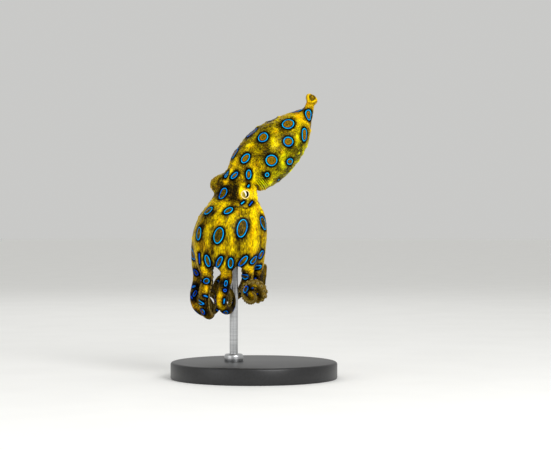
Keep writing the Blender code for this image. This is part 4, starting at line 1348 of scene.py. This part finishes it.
def lidMaterial():  # eyelid skin: cream at the margin, bright yellow beyond it
    made, tree, shader = newMaterial("eyelid skin", {
        "Roughness": 0.4, "Specular IOR Level": 0.06, "Coat Weight": 0.04, "Coat Roughness": 0.15,
        "Subsurface Weight": 0.06, "Subsurface Radius": (1.0, 0.6, 0.2), "Subsurface Scale": 0.0005,
    })
    margin = addNode(tree, "ShaderNodeAttribute", attribute_name="marginMm").outputs["Fac"]
    place = addNode(tree, "ShaderNodeTexCoord").outputs["Object"]
    inputs = {"Vector": place, "Scale": 1600.0, "Detail": 3.0}
    noise = addNode(tree, "ShaderNodeTexNoise", inputs).outputs["Fac"]
    inputs = {0: noise, 1: 0.5, 2: margin}
    value = addNode(tree, "ShaderNodeMath", inputs, operation="MULTIPLY_ADD").outputs[0]
    colour = addNode(tree, "ShaderNodeValToRGB", {"Fac": value}, stops=[
        (0.22, "#FFE6B4"), (0.46, "#FCE094"), (0.6, "#F2CC00"), (0.95, "#E6C000"),
    ]).outputs["Color"]
    tone = addNode(tree, "ShaderNodeAttribute", attribute_name="lidTone").outputs["Fac"]
    inputs = {0: tone, 6: colour, 7: linear("#6A5608")}
    colour = addNode(tree, "ShaderNodeMix", inputs, data_type="RGBA").outputs[2]
    tree.links.new(colour, shader.inputs["Base Color"])
    inputs = {"Height": noise, "Strength": 0.3, "Distance": 0.0001}
    bump = addNode(tree, "ShaderNodeBump", inputs).outputs["Normal"]
    tree.links.new(bump, shader.inputs["Normal"])
    return made


wetEye, eyelid = eyeMaterial(), lidMaterial()
for side, eye in eyes.items():
    finishPiece("eyeball_" + side, buildEyeball("eyeball", eye), wetEye, ["eye_" + side])
    finishPiece("eyelid_" + side, buildLid("lid", eye), eyelid)
print("eyes placed")

# The mouth: a round lip with radial folds, where the rod ends
mouth = {
    "profile": [  # radius and height
        (3.5, 62.6), (3.85, 61.9), (3.95, 61.2), (3.6, 60.5), (2.9, 60.0), (2.1, 59.85), (1.5, 60.2),
        (0.0, 60.5),
    ],
    "folds": 18,
    "foldDeep": 0.045,
    "grid": (108, 42),
}
crownMiddle = tuple(float(smoothValue(crown[key], crown["top"])) for key in ("axisX", "axisY"))


def buildMouth():
    x, y = crownMiddle
    radii, heights = np.array(mouth["profile"]).T
    rows = np.arange(len(radii))

    def place(u, v):
        row = v * (len(radii) - 1)
        radius = smoothValue(np.stack([rows, radii], 1), row)
        height = smoothValue(np.stack([rows, heights], 1), row)
        fold = 1 + mouth["foldDeep"] * np.cos(math.tau * u * mouth["folds"]) * ease(radius, 0.8, 2.5)
        radius = np.maximum(radius, 0) * fold
        return np.stack([x + radius * np.sin(math.tau * u), y + radius * np.cos(math.tau * u), height], 1)

    return meshOf("mouth", mappedGrid(*mouth["grid"], place))


def mouthMaterial():  # a pale wrinkled lip
    made, tree, shader = newMaterial("pale lip flesh", {
        "Roughness": 0.4, "Coat Weight": 0.2, "Coat Roughness": 0.2, "Subsurface Weight": 0.2,
        "Subsurface Radius": (1.0, 0.5, 0.3), "Subsurface Scale": 0.0008,
    })
    mottledBase(tree, shader, 900.0, 3.0, [(0.3, "#9A7A48"), (0.6, "#C8AA74"), (0.8, "#E0CBA0")])
    return made


finishPiece("mouth_lip", buildMouth(), mouthMaterial(), ["mouth"])

# The display stand: a turned steel base with satin black paint, a brushed rod and its collar
stand = {
    "base": [
        (0.0, 0.0), (29.5, 0.0), (29.9, 0.15), (30.0, 0.5), (30.0, 5.2), (29.85, 5.6), (29.5, 5.88),
        (29.1, 6.0), (0.0, 6.0),
    ],
    "rod": [(0.0, 5.9), (1.5, 5.9), (1.5, 59.9), (1.35, 60.1), (0.0, 60.1)],
    "collar": [
        (1.5, 5.98), (3.35, 5.98), (3.4, 6.1), (3.4, 7.9), (3.25, 8.4), (2.9, 8.7), (1.75, 8.7), (1.55, 8.55),
    ],
    "sides": 128,
    "sharpFrom": 35,  # degrees between two faces
}


def turnedPiece(name, profile, centre, closed):  # a profile turned on an upright axis
    bm = bmesh.new()
    row = [bm.verts.new((radius, 0.0, height)) for radius, height in profile]
    spinRow(bm, row, stand["sides"], closed)
    bmesh.ops.translate(bm, verts=bm.verts, vec=centre)
    return meshOf(name, bm)


def paintMaterial():  # satin black powder coat, with a faint orange peel
    made, tree, shader = newMaterial("satin black powder coat", {"Roughness": 0.38, "IOR": 1.5})
    peel = mottledBase(tree, shader, 1200.0, 2.0, [(0.3, "#161617"), (0.7, "#1E1E20")])
    inputs = {"Height": peel, "Strength": 0.15, "Distance": 0.0001}
    bump = addNode(tree, "ShaderNodeBump", inputs).outputs["Normal"]
    tree.links.new(bump, shader.inputs["Normal"])
    return made


def steelMaterial():  # brushed bare steel, the brush lines run round the rod
    made, tree, shader = newMaterial("brushed steel", {"Metallic": 1.0, "Roughness": 0.3})
    place = addNode(tree, "ShaderNodeTexCoord").outputs["Object"]
    inputs = {"Vector": place, "Scale": (60.0, 60.0, 5000.0)}
    lines = addNode(tree, "ShaderNodeMapping", inputs).outputs["Vector"]
    inputs = {"Vector": lines, "Scale": 1.0, "Detail": 2.0}
    brush = addNode(tree, "ShaderNodeTexNoise", inputs).outputs["Fac"]
    stops = [(0.3, "#A9ABAD"), (0.7, "#C6C7C8")]
    colour = addNode(tree, "ShaderNodeValToRGB", {"Fac": brush}, stops=stops).outputs["Color"]
    inputs = {"Value": brush, "To Min": 0.22, "To Max": 0.4}
    rough = addNode(tree, "ShaderNodeMapRange", inputs).outputs["Result"]
    tree.links.new(colour, shader.inputs["Base Color"])
    tree.links.new(rough, shader.inputs["Roughness"])
    inputs = {"Height": brush, "Strength": 0.1, "Distance": 0.00005}
    bump = addNode(tree, "ShaderNodeBump", inputs).outputs["Normal"]
    tree.links.new(bump, shader.inputs["Normal"])
    return made


blackPaint, steel = paintMaterial(), steelMaterial()
rodCentre = (*crownMiddle, 0.0)
for name, centre, made, slot, closed in (
    ("base", (0.0, 0.0, 0.0), blackPaint, "stand", False),
    ("rod", rodCentre, steel, "rod", False),
    ("collar", rodCentre, steel, "rod", True),
):
    mesh = turnedPiece(name, stand[name], centre, closed)
    piece = finishPiece("display_" + name, mesh, made, ["stand_" + name])
    piece.data.set_sharp_from_angle(angle=math.radians(stand["sharpFrom"]))
print("stand placed")


def floorMaterial():  # plain pale matt board
    made, tree, shader = newMaterial("pale matt board", {"Roughness": 0.85, "Specular IOR Level": 0.2})
    mottledBase(tree, shader, 30.0, 2.0, [(0.3, "#FCFCFA"), (0.7, "#FFFFFD")])
    return made


studio = {
    "floorRadius": 6.0,  # in metres, as are the places and sizes below
    "lookAt": (0.0, 0.0, 0.06),
    "lights": [  # name, place, size, watts
        ("key", (0.28, -0.5, 0.36), 0.35, 2.5),
        ("fill", (-0.5, -0.4, 0.2), 0.5, 0.6),
        ("back", (-0.1, 0.5, 0.5), 0.4, 0.45),
    ],
    "backdrop": ("#F2F2F0", 0.66),  # colour and strength
}


def buildStudio():
    bm = bmesh.new()
    bmesh.ops.create_circle(bm, cap_ends=True, segments=96, radius=studio["floorRadius"])
    floor = bpy.data.objects.new("floor", meshOf("floor", bm))
    floor.data.materials.append(floorMaterial())
    bpy.context.scene.collection.objects.link(floor)
    for name, spot, size, watts in studio["lights"]:
        data = bpy.data.lights.new(name, "AREA")
        data.shape = "DISK"
        data.size = size
        data.energy = watts
        light = bpy.data.objects.new(name, data)
        light.location = spot
        light.rotation_euler = (Vector(studio["lookAt"]) - Vector(spot)).to_track_quat("-Z", "Y").to_euler()
        bpy.context.scene.collection.objects.link(light)
    world = bpy.data.worlds.new("studio")
    world.use_nodes = True
    colour, strength = studio["backdrop"]
    world.node_tree.nodes["Background"].inputs["Color"].default_value = linear(colour)
    world.node_tree.nodes["Background"].inputs["Strength"].default_value = strength
    bpy.context.scene.world = world
    bpy.context.scene.view_settings.view_transform = "Standard"


buildStudio()
print("studio lit")
